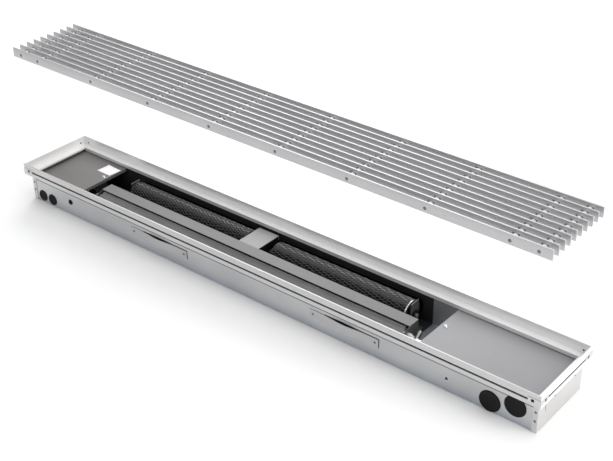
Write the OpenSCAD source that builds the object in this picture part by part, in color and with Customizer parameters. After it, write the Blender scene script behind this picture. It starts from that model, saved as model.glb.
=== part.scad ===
// Trench convector heater: a long shallow trough for the floor, with a rim frame, a lift-off
// linear grille, a tilted finned heat exchanger at the front and two cross-flow fans behind it.
// Millimetres. Origin at the bottom centre of the trough. +X runs to the pipe end, -Y is the
// front (room) side with the entry plugs, +Z is up.

/* [Trough] */
// Length over the rim frame
rim_length = 1300; // [1260:10:1500]
// Width over the rim frame
rim_width = 180; // [180:1:200]
// Height from the underside of the trough to the top of the rim
total_height = 90; // [89:1:120]
// Thickness of the folded trough sheet
tray_sheet = 1.2; // [0.8:0.1:1.4]
// Outer radius of the folds along the bottom of the trough
tray_fold = 3; // [2:0.5:5]
// Thickness of the end cap sheet
cap_sheet = 1; // [0.8:0.1:1.4]
// Width of the flange with which an end cap wraps round the long walls
cap_flange = 10; // [9:1:14]
// How far the rim stands out past the long sides of the trough
side_overhang = 13; // [12:0.5:13.5]
// How far the rim stands out past the ends of the trough
end_overhang = 9; // [7:0.5:11]

/* [Rim frame] */
// Thickness of the rim's upright web
rim_wall = 3.5; // [3:0.1:4]
// Height of the bead along the rim's top edge
rim_bead = 3; // [2:0.5:4]
// How far the band under the bead lies back from the bead
rim_band_inset = 1; // [0.5:0.1:1.2]
// Chamfer along both top edges of the rim
rim_chamfer = 0.8; // [0.4:0.1:1]
// Height of the lip at the foot of the rim
rim_lip = 9.5; // [8:0.5:11]
// Height of the groove above the lip
groove_height = 2; // [1.5:0.5:3]
// Depth of the groove above the lip
groove_depth = 2; // [1.5:0.1:2.2]
// Width of the ledge that the grille rests on
ledge_width = 14; // [13:0.5:15]
// Thickness of the ledge
ledge_sheet = 2.5; // [2:0.1:3]
// Depth of the lip below the ledge's underside
lip_drop = 2; // [1:0.5:3]
// Height of the leg that reaches down inside the long walls
leg_height = 6; // [5:0.5:6.5]
// Thickness of that leg
leg_sheet = 1.5; // [1:0.1:2]

/* [Corner blocks] */
// Length of each arm of a corner block
block_arm = 25; // [22:1:30]
// Height of a corner block
block_height = 10; // [8:0.5:11]
// Depth of the pocket that a corner block lies in
block_depth = 2; // [1.5:0.1:2.2]
// Distance of a corner screw from the outer corner
corner_screw_in = 16; // [12:1:18]
// Diameter of a corner screw
corner_screw_d = 4; // [3:0.5:5]

/* [Grille] */
// Number of flat bars
bar_count = 10; // [8:1:12]
// Thickness of a bar
bar_thickness = 3; // [2.5:0.1:4]
// Height of a bar
bar_height = 20; // [18:0.5:22]
// Gap between the outer bars and the rim's web
grille_side_gap = 2.5; // [1.5:0.5:4]
// Gap between the bar ends and the rim's web
grille_end_gap = 9.5; // [3:0.5:10]
// Diameter of a cross rod
rod_d = 4; // [3:0.5:5]
// Diameter of a rod's riveted head
rod_head_d = 6.5; // [5.5:0.5:8]
// Height of a rod's riveted head
rod_head_h = 0.6; // [0.4:0.1:1]
// Number of evenly spaced cross rods
rod_count = 8; // [6:1:10]
// Distance from a bar's end to the nearest rod
rod_end_margin = 24; // [16:1:30]
// Distance from that rod to the first evenly spaced one
rod_end_step = 52; // [30:1:70]
// Height of the rods above the underside of the bars
rod_height = 8; // [6:0.5:11]
// Outer diameter of the spacer sleeves between the bars
spacer_d = 8; // [7:0.5:10]
// How far the grille is lifted above its seat
grille_lift = 277; // [100:1:400]

/* [Heat exchanger] */
// Distance of the heat exchanger's middle from the trough's middle
module_shift = -62; // [-80:1:-40]
// Length of the heat exchanger over its end plates
coil_length = 814; // [790:1:830]
// Width of the fin block along its tilted top
fin_block_w = 47; // [44:1:48]
// Thickness of the fin block
fin_block_t = 38; // [36:1:39]
// Tilt of the fin block, with its front edge low
coil_tilt = 18; // [14:1:20]
// Pitch of the fins
fin_pitch = 6; // [4:0.5:10]
// Thickness of a fin
fin_sheet = 0.5; // [0.3:0.1:0.8]
// Outer diameter of the tubes
tube_d = 12; // [10:0.5:13]
// Wall of the tubes
tube_wall = 1; // [0.6:0.1:1.2]
// Tube spacing along the tilted top
tube_pitch_w = 27; // [26.5:0.5:30]
// Tube spacing across the thickness
tube_pitch_t = 19; // [19:0.5:21]
// Thickness of the heat exchanger's end plates
coil_plate = 1.2; // [1:0.1:2]
// Gap between the fin block and the front wall
coil_wall_gap = 3.1; // [2:0.1:4]
// Gap between the fin block and the air guide strip
coil_strip_gap = 2; // [1.5:0.1:3]
// Diameter of the pipe connections
socket_d = 25; // [24.5:0.1:25.2]
// Length of the pipe connections
socket_length = 26; // [22:1:32]
// Minor diameter of the thread in the pipe connections
socket_bore = 18.6; // [17:0.1:19]
// Depth of the thread in the pipe connections
socket_depth = 14; // [12:1:18]

/* [Fans] */
// Outer diameter of the impellers
impeller_d = 54; // [50:1:55]
// Length of an impeller
impeller_length = 330; // [300:1:335]
// Gap between the two impellers, where the motor sits
impeller_gap = 72; // [70:1:76]
// Number of blades round an impeller
blade_count = 24; // [16:1:32]
// Thickness of a blade
blade_sheet = 0.9; // [0.6:0.1:1.2]
// Radial depth of the blade ring
blade_depth = 7; // [5:0.5:9]
// Number of blade sections along an impeller
section_count = 4; // [2:1:8]
// Thickness of an impeller's rings
ring_sheet = 1.6; // [1:0.1:3]
// Diameter of the fan shaft
shaft_d = 8; // [6:0.5:9]
// Gap between the impellers and the casing
casing_gap = 4.5; // [3:0.1:5]
// Thickness of the fan casing sheet
casing_sheet = 1; // [0.8:0.1:1.2]
// Gap between the casing and the rear wall
casing_wall_gap = 1.8; // [1.5:0.1:2.5]
// Gap between an impeller and the folded edge of the air guide strip
tongue_gap = 11.5; // [9:0.5:13]
// Diameter of the fan motor
motor_d = 44; // [38:1:45]
// Length of the fan motor
motor_length = 44; // [40:1:46]
// Distance of the motor's middle from the middle between the impellers
motor_shift = -6.5; // [-7:0.5:0]
// Outer diameter of the shaft bearings
bearing_d = 20; // [18:1:22]
// Length of a shaft bearing
bearing_length = 8; // [6:0.5:9]
// Width of a bearing stand
stand_w = 25; // [24:1:30]

/* [Covers] */
// Where the left cover ends, from the middle
left_cover_end = -497; // [-502:1:-494]
// Where the right cover starts, from the middle
right_cover_start = 386; // [383:1:400]
// Thickness of the cover sheets
cover_sheet = 1; // [0.8:0.1:1.2]
// Depth of the ledge's underside above the top of the covers
cover_drop = 7; // [6.5:0.1:8]
// Height of the folded edge of a cover
cover_fold = 7; // [5:0.5:9]
// Distance of a cover's screw from its folded edge
cover_screw_in = 10; // [8:0.5:12]
// Distance of the cover screws behind the middle
cover_screw_y = 14; // [8:1:20]
// Diameter of the cover screws
cover_screw_d = 4; // [3.5:0.5:4.5]

/* [Side wall] */
// Flange diameter of the large entry plugs for the pipes
large_plug_d = 43; // [40:0.5:44]
// Places of the large plugs, from the middle and above the underside
large_plug_at = [[548, 22], [597, 36]];
// Flange diameter of the small entry plugs for the cables
small_plug_d = 26; // [24:0.5:28]
// Places of the small plugs, from the middle and above the underside
small_plug_at = [[-611, 16.5], [-580, 16.5]];
// Thickness of the plug flanges
plug_flange = 1.6; // [1.2:0.1:2]
// How much smaller in radius a plug's hole is than its flange
plug_lap = 2; // [1.5:0.1:2.5]
// Diameter of the cable grommet
grommet_d = 12; // [10:0.5:13]
// Place of the cable grommet, from the middle and above the underside
grommet_at = [-519, 32];
// Diameter of the small hole near the pipe end
small_hole_d = 6; // [4:0.5:8]
// Place of that hole, from the middle and above the underside
small_hole_at = [459, 27];
// Length of an anchor plate
anchor_length = 160; // [140:2:170]
// Height of an anchor plate
anchor_height = 18; // [16:1:22]
// Thickness of an anchor plate
anchor_sheet = 1.2; // [1:0.1:1.5]
// How far the middle of an anchor plate bows off the wall
anchor_bow = 4; // [3:0.5:5]
// Middles of the anchor plates along the trough
anchor_at = [-248, 232];
// Height of the middle of the anchor plates
anchor_z = 34; // [30:1:38]

/* [Hidden] */
$fn = 48;

// Clearances
seat_gap = 0.3;
rim_top_gap = 0.2;
running_gap = 0.05;
shank_gap = 0.1;
edge_gap = 0.3;
cut = 1;

// Trough
half_length = rim_length / 2;
half_width = rim_width / 2;
body_half = half_length - end_overhang;
tray_half = body_half - cap_sheet;
wall_outer = half_width - side_overhang - cap_sheet;
wall_inner = wall_outer - tray_sheet;
floor_top = tray_sheet;

// Rim levels
ledge_top = total_height - bar_height - seat_gap - rim_top_gap;
ledge_under = ledge_top - ledge_sheet;
lip_bottom = ledge_under - lip_drop;
lip_top = lip_bottom + rim_lip;
groove_top = lip_top + groove_height;
block_z = lip_top + groove_height / 2;
ledge_reach = rim_wall + ledge_width;
leg_in = half_width - wall_inner;
web_inner_x = half_length - rim_wall;
web_inner_y = half_width - rim_wall;

// Grille
bar_length = 2 * (web_inner_x - grille_end_gap);
grille_w = 2 * (web_inner_y - grille_side_gap);
bar_pitch = (grille_w - bar_thickness) / (bar_count - 1);
even_span = bar_length - 2 * (rod_end_margin + rod_end_step);
rod_pitch = even_span / (rod_count - 1);
even_rods = [for (i = [0 : rod_count - 1]) -even_span / 2 + i * rod_pitch];
end_rod = bar_length / 2 - rod_end_margin;
rod_at = concat([-end_rod], even_rods, [end_rod]);
grille_bottom = ledge_top + seat_gap + grille_lift;
rod_z = grille_bottom + rod_height;

// Covers and strip
cover_top = ledge_under - cover_drop;
cover_under = cover_top - cover_sheet;
cover_half_w = wall_inner - leg_sheet - edge_gap;
cover_outer_x = tray_half - 3;
bracket_sheet = 1.2;
bracket_w = 24;
bracket_base = 16;
rest_w = 16;
rest_reach = 12;
rest_drop = 18;
rest_y = [-22, 48];
rest_rivet_z = cover_under - 11;
screw_head_d = 2 * cover_screw_d;
screw_head_h = 2.2;
screw_reach = 8;

// Fans
fan_y = wall_inner - casing_wall_gap - casing_sheet - casing_gap - impeller_d / 2;
fan_z = floor_top + seat_gap + casing_sheet + casing_gap + impeller_d / 2;
left_fan_x = module_shift - impeller_gap / 2 - impeller_length;
right_fan_x = module_shift + impeller_gap / 2;
casing_r = impeller_d / 2 + casing_gap;
casing_end = 4;
casing_lip_z = fan_z + 22;
side_plate_half = 24.5;
stand_x = impeller_length + casing_end + 1;
stand_sheet = 1.6;
stand_top = cover_top + 2;
stand_foot = 14;
shaft_tail = 4;
shaft_half = impeller_gap / 2 + stand_x + bearing_length / 2 + shaft_tail;
hub_d = 16;
hub_length = 12;
cradle_sheet = 1.6;
cover_w = 52;
cover_shift = -0.5;
motor_x = module_shift + motor_shift;
cover_back = fan_y + 25;
blade_turn = 40;

// Heat exchanger
coil_left = module_shift - coil_length / 2;
coil_right = module_shift + coil_length / 2;
fin_room = 6;
fin_span = coil_length - 2 * (coil_plate + fin_room);
fin_count = floor(fin_span / fin_pitch) + 1;
fin_start = module_shift - (fin_count - 1) * fin_pitch / 2;
collar_wall = 0.7;
coil_y = -wall_inner + coil_wall_gap + fin_block_w / 2 * cos(coil_tilt)
    + fin_block_t / 2 * sin(coil_tilt);
coil_z = cover_under - coil_strip_gap - fin_block_w / 2 * sin(coil_tilt)
    - fin_block_t / 2 * cos(coil_tilt);
fin_top_y = coil_y + fin_block_w / 2 * cos(coil_tilt) - fin_block_t / 2 * sin(coil_tilt);
tube_rows = [[-1, -1], [-1, 1], [1, 1], [1, -1]];
tube_stub = 4;
plate_hem = 12;
strip_front = fin_top_y + 1;
strip_back = fan_y - impeller_d / 2 - tongue_gap;
strip_lip = 3;
strip_tongue = 14;
loom_d = 5;
loom_hole = 7;

// Wiring
box_x = -572;
box_l = 80;
box_w = 64;
box_h = 38;
box_wall = 2;
box_lid = 2.5;
gland_d = 14;
gland_length = 8;
gland_z = 24;
loom_y = -6;
loom_elbow = 8;
loom_drop = (fan_z - gland_z) / 2;
loom_step_x = coil_left - 20;
loom_box_x = box_x + box_l / 2 - 12;

// Fasteners
rivet_shank = 3;
rivet_head = 5;
rivet_head_h = 1;
rivet_z = [24, 43];
cap_rivet_x = body_half - cap_flange / 2;
anchor_rivet_in = 8;
anchor_end = 30;
anchor_steps = 12;

// Colours
zinc = [0.74, 0.75, 0.77];
alu = [0.80, 0.80, 0.81];
cover_grey = [0.66, 0.66, 0.68];
dark_grey = [0.45, 0.44, 0.44];
black = [0.05, 0.05, 0.055];
copper = [0.72, 0.42, 0.27];
brass = [0.80, 0.68, 0.42];
steel = [0.62, 0.63, 0.65];

// Extrudes a (y, z) section along x
module along_x(x, length) {
    translate([x, 0, 0])
        rotate([90, 0, 90])
            linear_extrude(length) children();
}

// Cylinder along y, its first end at the given place
module rod_y(x, y, z, d, length) {
    translate([x, y, z])
        rotate([-90, 0, 0])
            cylinder(d = d, h = length);
}

// Cylinder along x, its first end at the given place
module rod_x(x, y, z, d, length) {
    translate([x, y, z])
        rotate([0, 90, 0])
            cylinder(d = d, h = length);
}

// Quarter bend of a round cable in the xy plane, round the origin, from +x to +y
module elbow(d, radius) {
    rotate_extrude(angle = 90)
        translate([radius, 0])
            circle(d = d);
}

// Blind rivet pointing along -y from its head's face, standing on the plane y = 0
module rivet() {
    rotate([90, 0, 0])
        cylinder(d1 = rivet_head, d2 = rivet_head * 0.6, h = rivet_head_h);
    rotate([-90, 0, 0])
        cylinder(d = rivet_shank, h = cap_sheet + tray_sheet);
}

// Hole for a rivet's shank, through everything near the plane y = 0
module rivet_hole() {
    translate([0, -cut, 0])
        rotate([-90, 0, 0])
            cylinder(d = rivet_shank + shank_gap, h = cap_sheet + tray_sheet + 2 * cut);
}

// Section of the trough: an open U with rounded folds
module tray_section() {
    difference() {
        rounded_u(wall_outer, 0, tray_fold);
        rounded_u(wall_inner, tray_sheet, tray_fold - tray_sheet);
    }
}

// Solid U shape of a half width, from a level up to the ledge, with rounded bottom corners
module rounded_u(half, bottom, r) {
    translate([-half, bottom + r])
        square([2 * half, ledge_under - bottom - r]);
    translate([-half + r, bottom])
        square([2 * (half - r), r]);
    for (s = [-1, 1])
        translate([s * (half - r), bottom + r])
            circle(r = r);
}

module trough_tray() {
    color(zinc)
    difference() {
        along_x(-tray_half, 2 * tray_half) tray_section();
        wall_holes();
        for (s = [-1, 1])
            for (x = anchor_at)
                for (e = [-1, 1])
                    translate([x + e * (anchor_length / 2 - anchor_rivet_in), s * wall_outer, anchor_z])
                        rotate([0, 0, s > 0 ? 180 : 0])
                            rivet_hole();
        cap_rivet_places() rivet_hole();
        for (x = floor_hole_x)
            for (s = [-1, 1])
                translate([x, s * floor_hole_y, -cut])
                    cylinder(d = floor_hole_d, h = tray_sheet + 2 * cut);
    }
}

// Anchor holes in the floor of the trough, under the covers
floor_hole_d = 7;
floor_hole_y = 50;
floor_hole_x = [-600, 600];

// Round openings in the front wall
module wall_holes() {
    wall_y = -wall_outer - cut;
    through = tray_sheet + 2 * cut;
    for (p = large_plug_at)
        rod_y(p[0], wall_y, p[1], large_plug_d - 2 * plug_lap, through);
    for (p = small_plug_at)
        rod_y(p[0], wall_y, p[1], small_plug_d - 2 * plug_lap, through);
    rod_y(grommet_at[0], wall_y, grommet_at[1], grommet_d - plug_lap, through);
    rod_y(small_hole_at[0], wall_y, small_hole_at[1], small_hole_d, through);
}

// Places its child at every rivet of the cap flanges
module cap_rivet_places() {
    for (x = [-cap_rivet_x, cap_rivet_x])
        for (z = rivet_z) {
            translate([x, -wall_outer - cap_sheet, z]) children();
            translate([x, wall_outer + cap_sheet, z]) rotate([0, 0, 180]) children();
        }
}

// End cap at the +X end: a pan whose side flanges wrap round the long walls
module end_cap() {
    outer = wall_outer + cap_sheet;
    difference() {
        union() {
            translate([tray_half, -outer, 0])
                cube([cap_sheet, 2 * outer, ledge_under]);
            for (s = [-1, 1])
                translate([body_half - cap_flange, s > 0 ? wall_outer : -outer, 0])
                    cube([cap_flange, cap_sheet, ledge_under]);
            for (z = [floor_top, ledge_under - cap_sheet])
                translate([tray_half - cap_flange + cap_sheet, -cap_inner_half, z])
                    cube([cap_flange, 2 * cap_inner_half, cap_sheet]);
        }
        translate([tray_half - cut, -cap_slot_y - cap_slot_w / 2, cap_slot_z])
            cube([cap_sheet + 2 * cut, cap_slot_w, cap_slot_h]);
        for (z = rivet_z)
            for (s = [-1, 1])
                translate([cap_rivet_x, s * outer, z])
                    rotate([0, 0, s > 0 ? 180 : 0])
                        rivet_hole();
        for (y = rest_y)
            rod_x(tray_half - cut, y, rest_rivet_z, rivet_shank + shank_gap, cap_sheet + 2 * cut);
    }
}
cap_inner_half = wall_inner - tray_fold;
cap_slot_y = 52;
cap_slot_w = 2;
cap_slot_h = 16;
cap_slot_z = 34;

module end_cap_right() {
    color(zinc) end_cap();
}

module end_cap_left() {
    color(zinc) rotate([0, 0, 180]) end_cap();
}

module end_cap_rivets() {
    color(steel) {
        cap_rivet_places() rivet();
        for (turn = [0, 180])
            for (y = rest_y)
                rotate([0, 0, turn])
                    translate([body_half, y, rest_rivet_z])
                        rotate([0, 0, 90])
                            rivet();
    }
}

// Angles riveted inside the end caps, on which the outer ends of the covers rest
module cover_rests() {
    color(zinc)
    for (turn = [0, 180])
        for (y = rest_y)
            rotate([0, 0, turn])
                translate([0, y - rest_w / 2, 0])
                    difference() {
                        union() {
                            translate([tray_half - tray_sheet, 0, cover_under - rest_drop])
                                cube([tray_sheet, rest_w, rest_drop]);
                            translate([tray_half - rest_reach, 0, cover_under - tray_sheet])
                                cube([rest_reach, rest_w, tray_sheet]);
                        }
                        rod_x(tray_half - tray_sheet - cut, rest_w / 2, rest_rivet_z,
                            rivet_shank + shank_gap, tray_sheet + 2 * cut);
                    }
}

// Section of the rim as (distance in from the outer face, height); the leg is optional
function rim_outline(with_leg) = concat(
    [[0, lip_bottom], [0, lip_top], [groove_depth, lip_top], [groove_depth, groove_top],
     [rim_band_inset, groove_top], [rim_band_inset, total_height - rim_bead],
     [0, total_height - rim_bead], [0, total_height - rim_chamfer],
     [rim_chamfer, total_height], [rim_wall - rim_chamfer, total_height],
     [rim_wall, total_height - rim_chamfer], [rim_wall, ledge_top],
     [ledge_reach, ledge_top], [ledge_reach, ledge_under]],
    with_leg ? [[leg_in + leg_sheet, ledge_under], [leg_in + leg_sheet, ledge_under - leg_height],
                [leg_in, ledge_under - leg_height], [leg_in, ledge_under]] : [],
    [[rim_wall, ledge_under], [rim_wall, lip_bottom]]);

// One mitred side of the rim along x, its outer face on y = -across
module rim_side(half, across, with_leg) {
    arm = min(block_arm, half);
    difference() {
        intersection() {
            translate([0, -across, 0])
                along_x(-half, 2 * half)
                    polygon(rim_outline(with_leg));
            translate([0, -across, 0])
                linear_extrude(total_height)
                    polygon([[-half, 0], [half, 0], [half - ledge_reach, ledge_reach],
                             [-half + ledge_reach, ledge_reach]]);
        }
        for (s = [-1, 1]) {
            translate([s > 0 ? half - arm : -half - cut, -across - cut, block_z - block_height / 2])
                cube([arm + cut, block_depth + cut, block_height]);
            rod_y(s * (half - corner_screw_in), -across, block_z, corner_screw_d, rim_wall + cut);
        }
    }
}

module rim_front() {
    color(alu) rim_side(half_length, half_width, true);
}

module rim_back() {
    color(alu) rotate([0, 0, 180]) rim_side(half_length, half_width, true);
}

module rim_right() {
    color(alu) rotate([0, 0, 90]) rim_side(half_width, half_length, false);
}

module rim_left() {
    color(alu) rotate([0, 0, -90]) rim_side(half_width, half_length, false);
}

// Places its child at each rim corner, turned so that the corner points along +x and +y
module at_corners() {
    for (c = [[1, 1, 0], [-1, 1, 90], [-1, -1, 180], [1, -1, 270]])
        translate([c[0] * half_length, c[1] * half_width, block_z])
            rotate([0, 0, c[2]])
                children();
}

// Corner blocks: flush angles that key the mitred sides together
module rim_corner_blocks() {
    color(alu)
    at_corners()
        difference() {
            translate([-block_arm, -block_arm, -block_height / 2])
                cube([block_arm, block_arm, block_height]);
            translate([-block_arm - cut, -block_arm - cut, -block_height])
                cube([block_arm - block_depth + cut, block_arm - block_depth + cut, 2 * block_height]);
            translate([-corner_screw_in, -block_depth - cut, 0])
                rotate([-90, 0, 0])
                    cylinder(d = corner_screw_d, h = block_depth + 2 * cut);
            translate([-block_depth - cut, -corner_screw_in, 0])
                rotate([0, 90, 0])
                    cylinder(d = corner_screw_d, h = block_depth + 2 * cut);
        }
}

// Grub screws with a hexagon socket, sunk in the corner blocks
module rim_corner_screws() {
    color(black)
    at_corners() {
        translate([-corner_screw_in, -corner_screw_sink, 0])
            rotate([90, 0, 0])
                grub_screw();
        translate([-corner_screw_sink, -corner_screw_in, 0])
            rotate([0, -90, 0])
                grub_screw();
    }
}
corner_screw_sink = 0.8;

// Grub screw from its driven face along +z
module grub_screw() {
    length = rim_wall - corner_screw_sink;
    difference() {
        cylinder(d = corner_screw_d - shank_gap, h = length);
        translate([0, 0, -cut])
            cylinder(d = corner_screw_d / 2, h = cut + length / 2, $fn = 6);
    }
}

// Offset of an anchor plate from the wall along its length: flat ends, one smooth bow between
function bow(t) = anchor_bow * (1 - cos(360 * t)) / 2;

module anchor_plate() {
    half = anchor_length / 2;
    span = anchor_length - 2 * anchor_end;
    curve = [for (i = [0 : anchor_steps]) [-span / 2 + span * i / anchor_steps, bow(i / anchor_steps)]];
    back = concat([[-half, 0]], curve, [[half, 0]]);
    face = [for (i = [len(back) - 1 : -1 : 0]) back[i] + [0, anchor_sheet]];
    difference() {
        translate([0, 0, anchor_z - anchor_height / 2])
            linear_extrude(anchor_height)
                polygon(concat(back, face));
        for (e = [-1, 1])
            rod_y(e * (half - anchor_rivet_in), -cut, anchor_z, rivet_shank + shank_gap,
                anchor_sheet + 2 * cut);
    }
}

// Places its child on both long walls at each anchor plate, facing out along +y
module at_anchors() {
    for (x = anchor_at) {
        translate([x, wall_outer, 0]) children();
        translate([x, -wall_outer, 0]) mirror([0, 1, 0]) children();
    }
}

module anchor_plates() {
    color(zinc) at_anchors() anchor_plate();
}

module anchor_rivets() {
    color(steel)
    at_anchors()
        for (e = [-1, 1])
            translate([e * (anchor_length / 2 - anchor_rivet_in), anchor_sheet, anchor_z])
                rotate([0, 0, 180])
                    anchor_rivet();
}

// Rivet of an anchor plate: head outside, shank through the plate and the wall
module anchor_rivet() {
    rotate([90, 0, 0])
        cylinder(d1 = rivet_head, d2 = rivet_head * 0.6, h = rivet_head_h);
    rotate([-90, 0, 0])
        cylinder(d = rivet_shank, h = anchor_sheet + tray_sheet);
}

// Push-in plug on the plane z = 0, its dished flange above and its skirt below
module plug(d) {
    body_r = d / 2 - plug_lap;
    skirt = tray_sheet + 4;
    rotate_extrude()
        polygon([[0, plug_flange * 0.5], [d * 0.3, plug_flange * 0.5], [d * 0.38, plug_flange],
                 [d / 2 - 0.8, plug_flange], [d / 2, plug_flange * 0.4], [d / 2, 0],
                 [body_r - running_gap, 0], [body_r - running_gap, -skirt],
                 [body_r - 2, -skirt], [body_r - 2, -0.6], [0, -0.6]]);
}

module front_plugs(places, d) {
    for (p = places)
        translate([p[0], -wall_outer, p[1]])
            rotate([90, 0, 0])
                plug(d);
}

module pipe_entry_plugs() {
    color(black) front_plugs(large_plug_at, large_plug_d);
}

module cable_entry_plugs() {
    color(black) front_plugs(small_plug_at, small_plug_d);
}

// Rubber grommet: a ring with a groove for the wall and a bore for a cable
module cable_grommet() {
    neck = grommet_d / 2 - plug_lap / 2 - running_gap;
    lip = 1.5;
    bore = 2.5;
    color(dark_grey)
    translate([grommet_at[0], -wall_outer, grommet_at[1]])
        rotate([90, 0, 0])
            rotate_extrude()
                polygon([[bore, lip], [grommet_d / 2 - 0.5, lip], [grommet_d / 2, 0.6],
                         [grommet_d / 2, 0], [neck, 0], [neck, -tray_sheet],
                         [grommet_d / 2, -tray_sheet], [grommet_d / 2, -tray_sheet - lip],
                         [bore, -tray_sheet - lip]]);
}

// Cover sheet from an inner edge to an outer end, with a folded inner edge and a screw hole
module cover_plate(inner, outer, screw_x) {
    low = min(inner, outer);
    fold_x = inner < outer ? inner : inner - cover_sheet;
    difference() {
        union() {
            translate([low, -cover_half_w, cover_under])
                cube([abs(outer - inner), 2 * cover_half_w, cover_sheet]);
            translate([fold_x, -cover_half_w, cover_top - cover_fold])
                cube([cover_sheet, 2 * cover_half_w, cover_fold]);
        }
        translate([screw_x, cover_screw_y, cover_under - cut])
            cylinder(d = cover_screw_d + 2 * shank_gap, h = cover_sheet + 2 * cut);
    }
}
left_screw_x = left_cover_end - cover_screw_in;
right_screw_x = right_cover_start + cover_screw_in;

module cover_plate_left() {
    color(dark_grey) cover_plate(left_cover_end, -cover_outer_x, left_screw_x);
}

module cover_plate_right() {
    color(cover_grey) cover_plate(right_cover_start, cover_outer_x, right_screw_x);
}

// Bent sheet post: foot on the floor, upright, and a flange under the cover for its screw
module cover_bracket(side) {
    flange = 2 * cover_screw_in - cover_sheet - 3;
    web_x = flange / 2;
    difference() {
        union() {
            translate([-flange / 2, -bracket_w / 2, cover_under - bracket_sheet])
                cube([flange, bracket_w, bracket_sheet]);
            translate([side > 0 ? web_x - bracket_sheet : -web_x, -bracket_w / 2, floor_top])
                cube([bracket_sheet, bracket_w, cover_under - floor_top]);
            translate([side > 0 ? web_x - bracket_sheet : -web_x - bracket_base + bracket_sheet,
                       -bracket_w / 2, floor_top])
                cube([bracket_base, bracket_w, bracket_sheet]);
        }
        translate([0, 0, cover_under - bracket_sheet - cut])
            cylinder(d = cover_screw_d + 2 * shank_gap, h = bracket_sheet + 2 * cut);
    }
}

module cover_brackets() {
    color(zinc) {
        translate([left_screw_x, cover_screw_y, 0]) cover_bracket(-1);
        translate([right_screw_x, cover_screw_y, 0]) cover_bracket(1);
    }
}

// Pan-head screws that hold the covers down
module cover_screws() {
    color(steel)
    for (x = [left_screw_x, right_screw_x])
        translate([x, cover_screw_y, cover_top])
            difference() {
                union() {
                    cylinder(d1 = screw_head_d, d2 = screw_head_d * 0.7, h = screw_head_h);
                    translate([0, 0, -screw_reach])
                        cylinder(d = cover_screw_d, h = screw_reach);
                }
                for (turn = [0, 90])
                    rotate([0, 0, turn])
                        translate([-screw_head_d * 0.3, -0.5, screw_head_h - 1.2])
                            cube([screw_head_d * 0.6, 1, 2]);
            }
}

// Moves its child into the tilted frame of the heat exchanger, whose middle is (coil_y, coil_z)
module in_coil() {
    translate([0, coil_y, coil_z])
        rotate([coil_tilt, 0, 0])
            children();
}

// Places its child at each tube of a list, in the tilted frame
module at_tubes(rows) {
    for (r = rows)
        translate([0, r[0] * tube_pitch_w / 2, r[1] * tube_pitch_t / 2])
            children();
}

// Fin block: thin plates joined by the collars round the tubes
module coil_fins() {
    collar = tube_d / 2 + collar_wall;
    color([0.42, 0.43, 0.44])
    in_coil()
        difference() {
            union() {
                for (i = [0 : fin_count - 1])
                    translate([fin_start + i * fin_pitch - fin_sheet / 2, -fin_block_w / 2, -fin_block_t / 2])
                        cube([fin_sheet, fin_block_w, fin_block_t]);
                at_tubes(tube_rows)
                    rod_x(fin_start - fin_sheet / 2, 0, 0, 2 * collar,
                        (fin_count - 1) * fin_pitch + fin_sheet);
            }
            at_tubes(tube_rows)
                rod_x(coil_left, 0, 0, tube_d + 2 * running_gap, coil_length);
        }
}

// Copper tubes, which stand out of both end plates
module coil_tubes() {
    color(copper)
    in_coil()
        at_tubes(tube_rows)
            difference() {
                rod_x(coil_left - tube_stub, 0, 0, tube_d, coil_length + 2 * tube_stub);
                rod_x(coil_left - tube_stub - cut, 0, 0, tube_d - 2 * tube_wall,
                    coil_length + 2 * (tube_stub + cut));
            }
}

// Half-round bend that leaves the plane x = 0 along +x and joins two tubes a pitch apart along y
module return_bend(pitch) {
    rotate([0, 0, -90])
        rotate_extrude(angle = 180)
            translate([pitch / 2, 0])
                difference() {
                    circle(d = tube_d);
                    circle(d = tube_d - 2 * tube_wall);
                }
}

module coil_return_bends() {
    color(copper)
    in_coil() {
        for (s = [-1, 1])
            translate([coil_left - tube_stub, s * tube_pitch_w / 2, 0])
                rotate([90, 0, 180])
                    return_bend(tube_pitch_t);
        translate([coil_right + tube_stub, 0, tube_pitch_t / 2])
            return_bend(tube_pitch_w);
    }
}

// End plate of the heat exchanger: closes the air path under the strip, carries the tubes and
// stands on the floor with a folded foot
module coil_end_plate(x, foot_dir, with_loom) {
    top = cover_under;
    front = -wall_inner + edge_gap;
    edge_low = coil_z + fin_block_t / 2 * cos(coil_tilt) - fin_block_w / 2 * sin(coil_tilt) + 3;
    difference() {
        union() {
            along_x(x, coil_plate)
                polygon([[front, floor_top], [front, edge_low - 2], [strip_front, top],
                         [strip_back, top], [strip_back, floor_top]]);
            translate([foot_dir > 0 ? x : x + coil_plate - plate_hem, front + tray_fold, floor_top])
                cube([plate_hem, strip_back - front - tray_fold, coil_plate]);
        }
        in_coil()
            at_tubes(tube_rows)
                rod_x(x - cut, 0, 0, tube_d + 2 * running_gap, coil_plate + 2 * cut);
        if (with_loom)
            rod_x(x - cut, loom_y, fan_z, loom_hole, coil_plate + 2 * cut);
        fold_relief(x);
    }
}

// Clears the rounded fold of the trough at the foot of an end plate
module fold_relief(x) {
    translate([x - cut, -wall_inner - cut, 0])
        cube([coil_plate + 2 * cut, tray_fold + cut, tray_fold + floor_top]);
}

module coil_end_plate_left() {
    color(dark_grey) coil_end_plate(coil_left, -1, true);
}

module coil_end_plate_right() {
    color(dark_grey) coil_end_plate(coil_right - coil_plate, 1, false);
}

// Threaded sockets on the two lower tubes
module pipe_connections() {
    start = coil_right + tube_stub - 3;
    color(brass)
    in_coil()
        at_tubes([tube_rows[0], tube_rows[3]])
            difference() {
                rod_x(start, 0, 0, socket_d, socket_length);
                rod_x(start - cut, 0, 0, tube_d + 2 * running_gap, 3 + cut);
                rod_x(start + 2, 0, 0, tube_d - 2 * tube_wall, socket_length);
                rod_x(start + socket_length - socket_depth, 0, 0, socket_bore, socket_depth + cut);
            }
}

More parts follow.
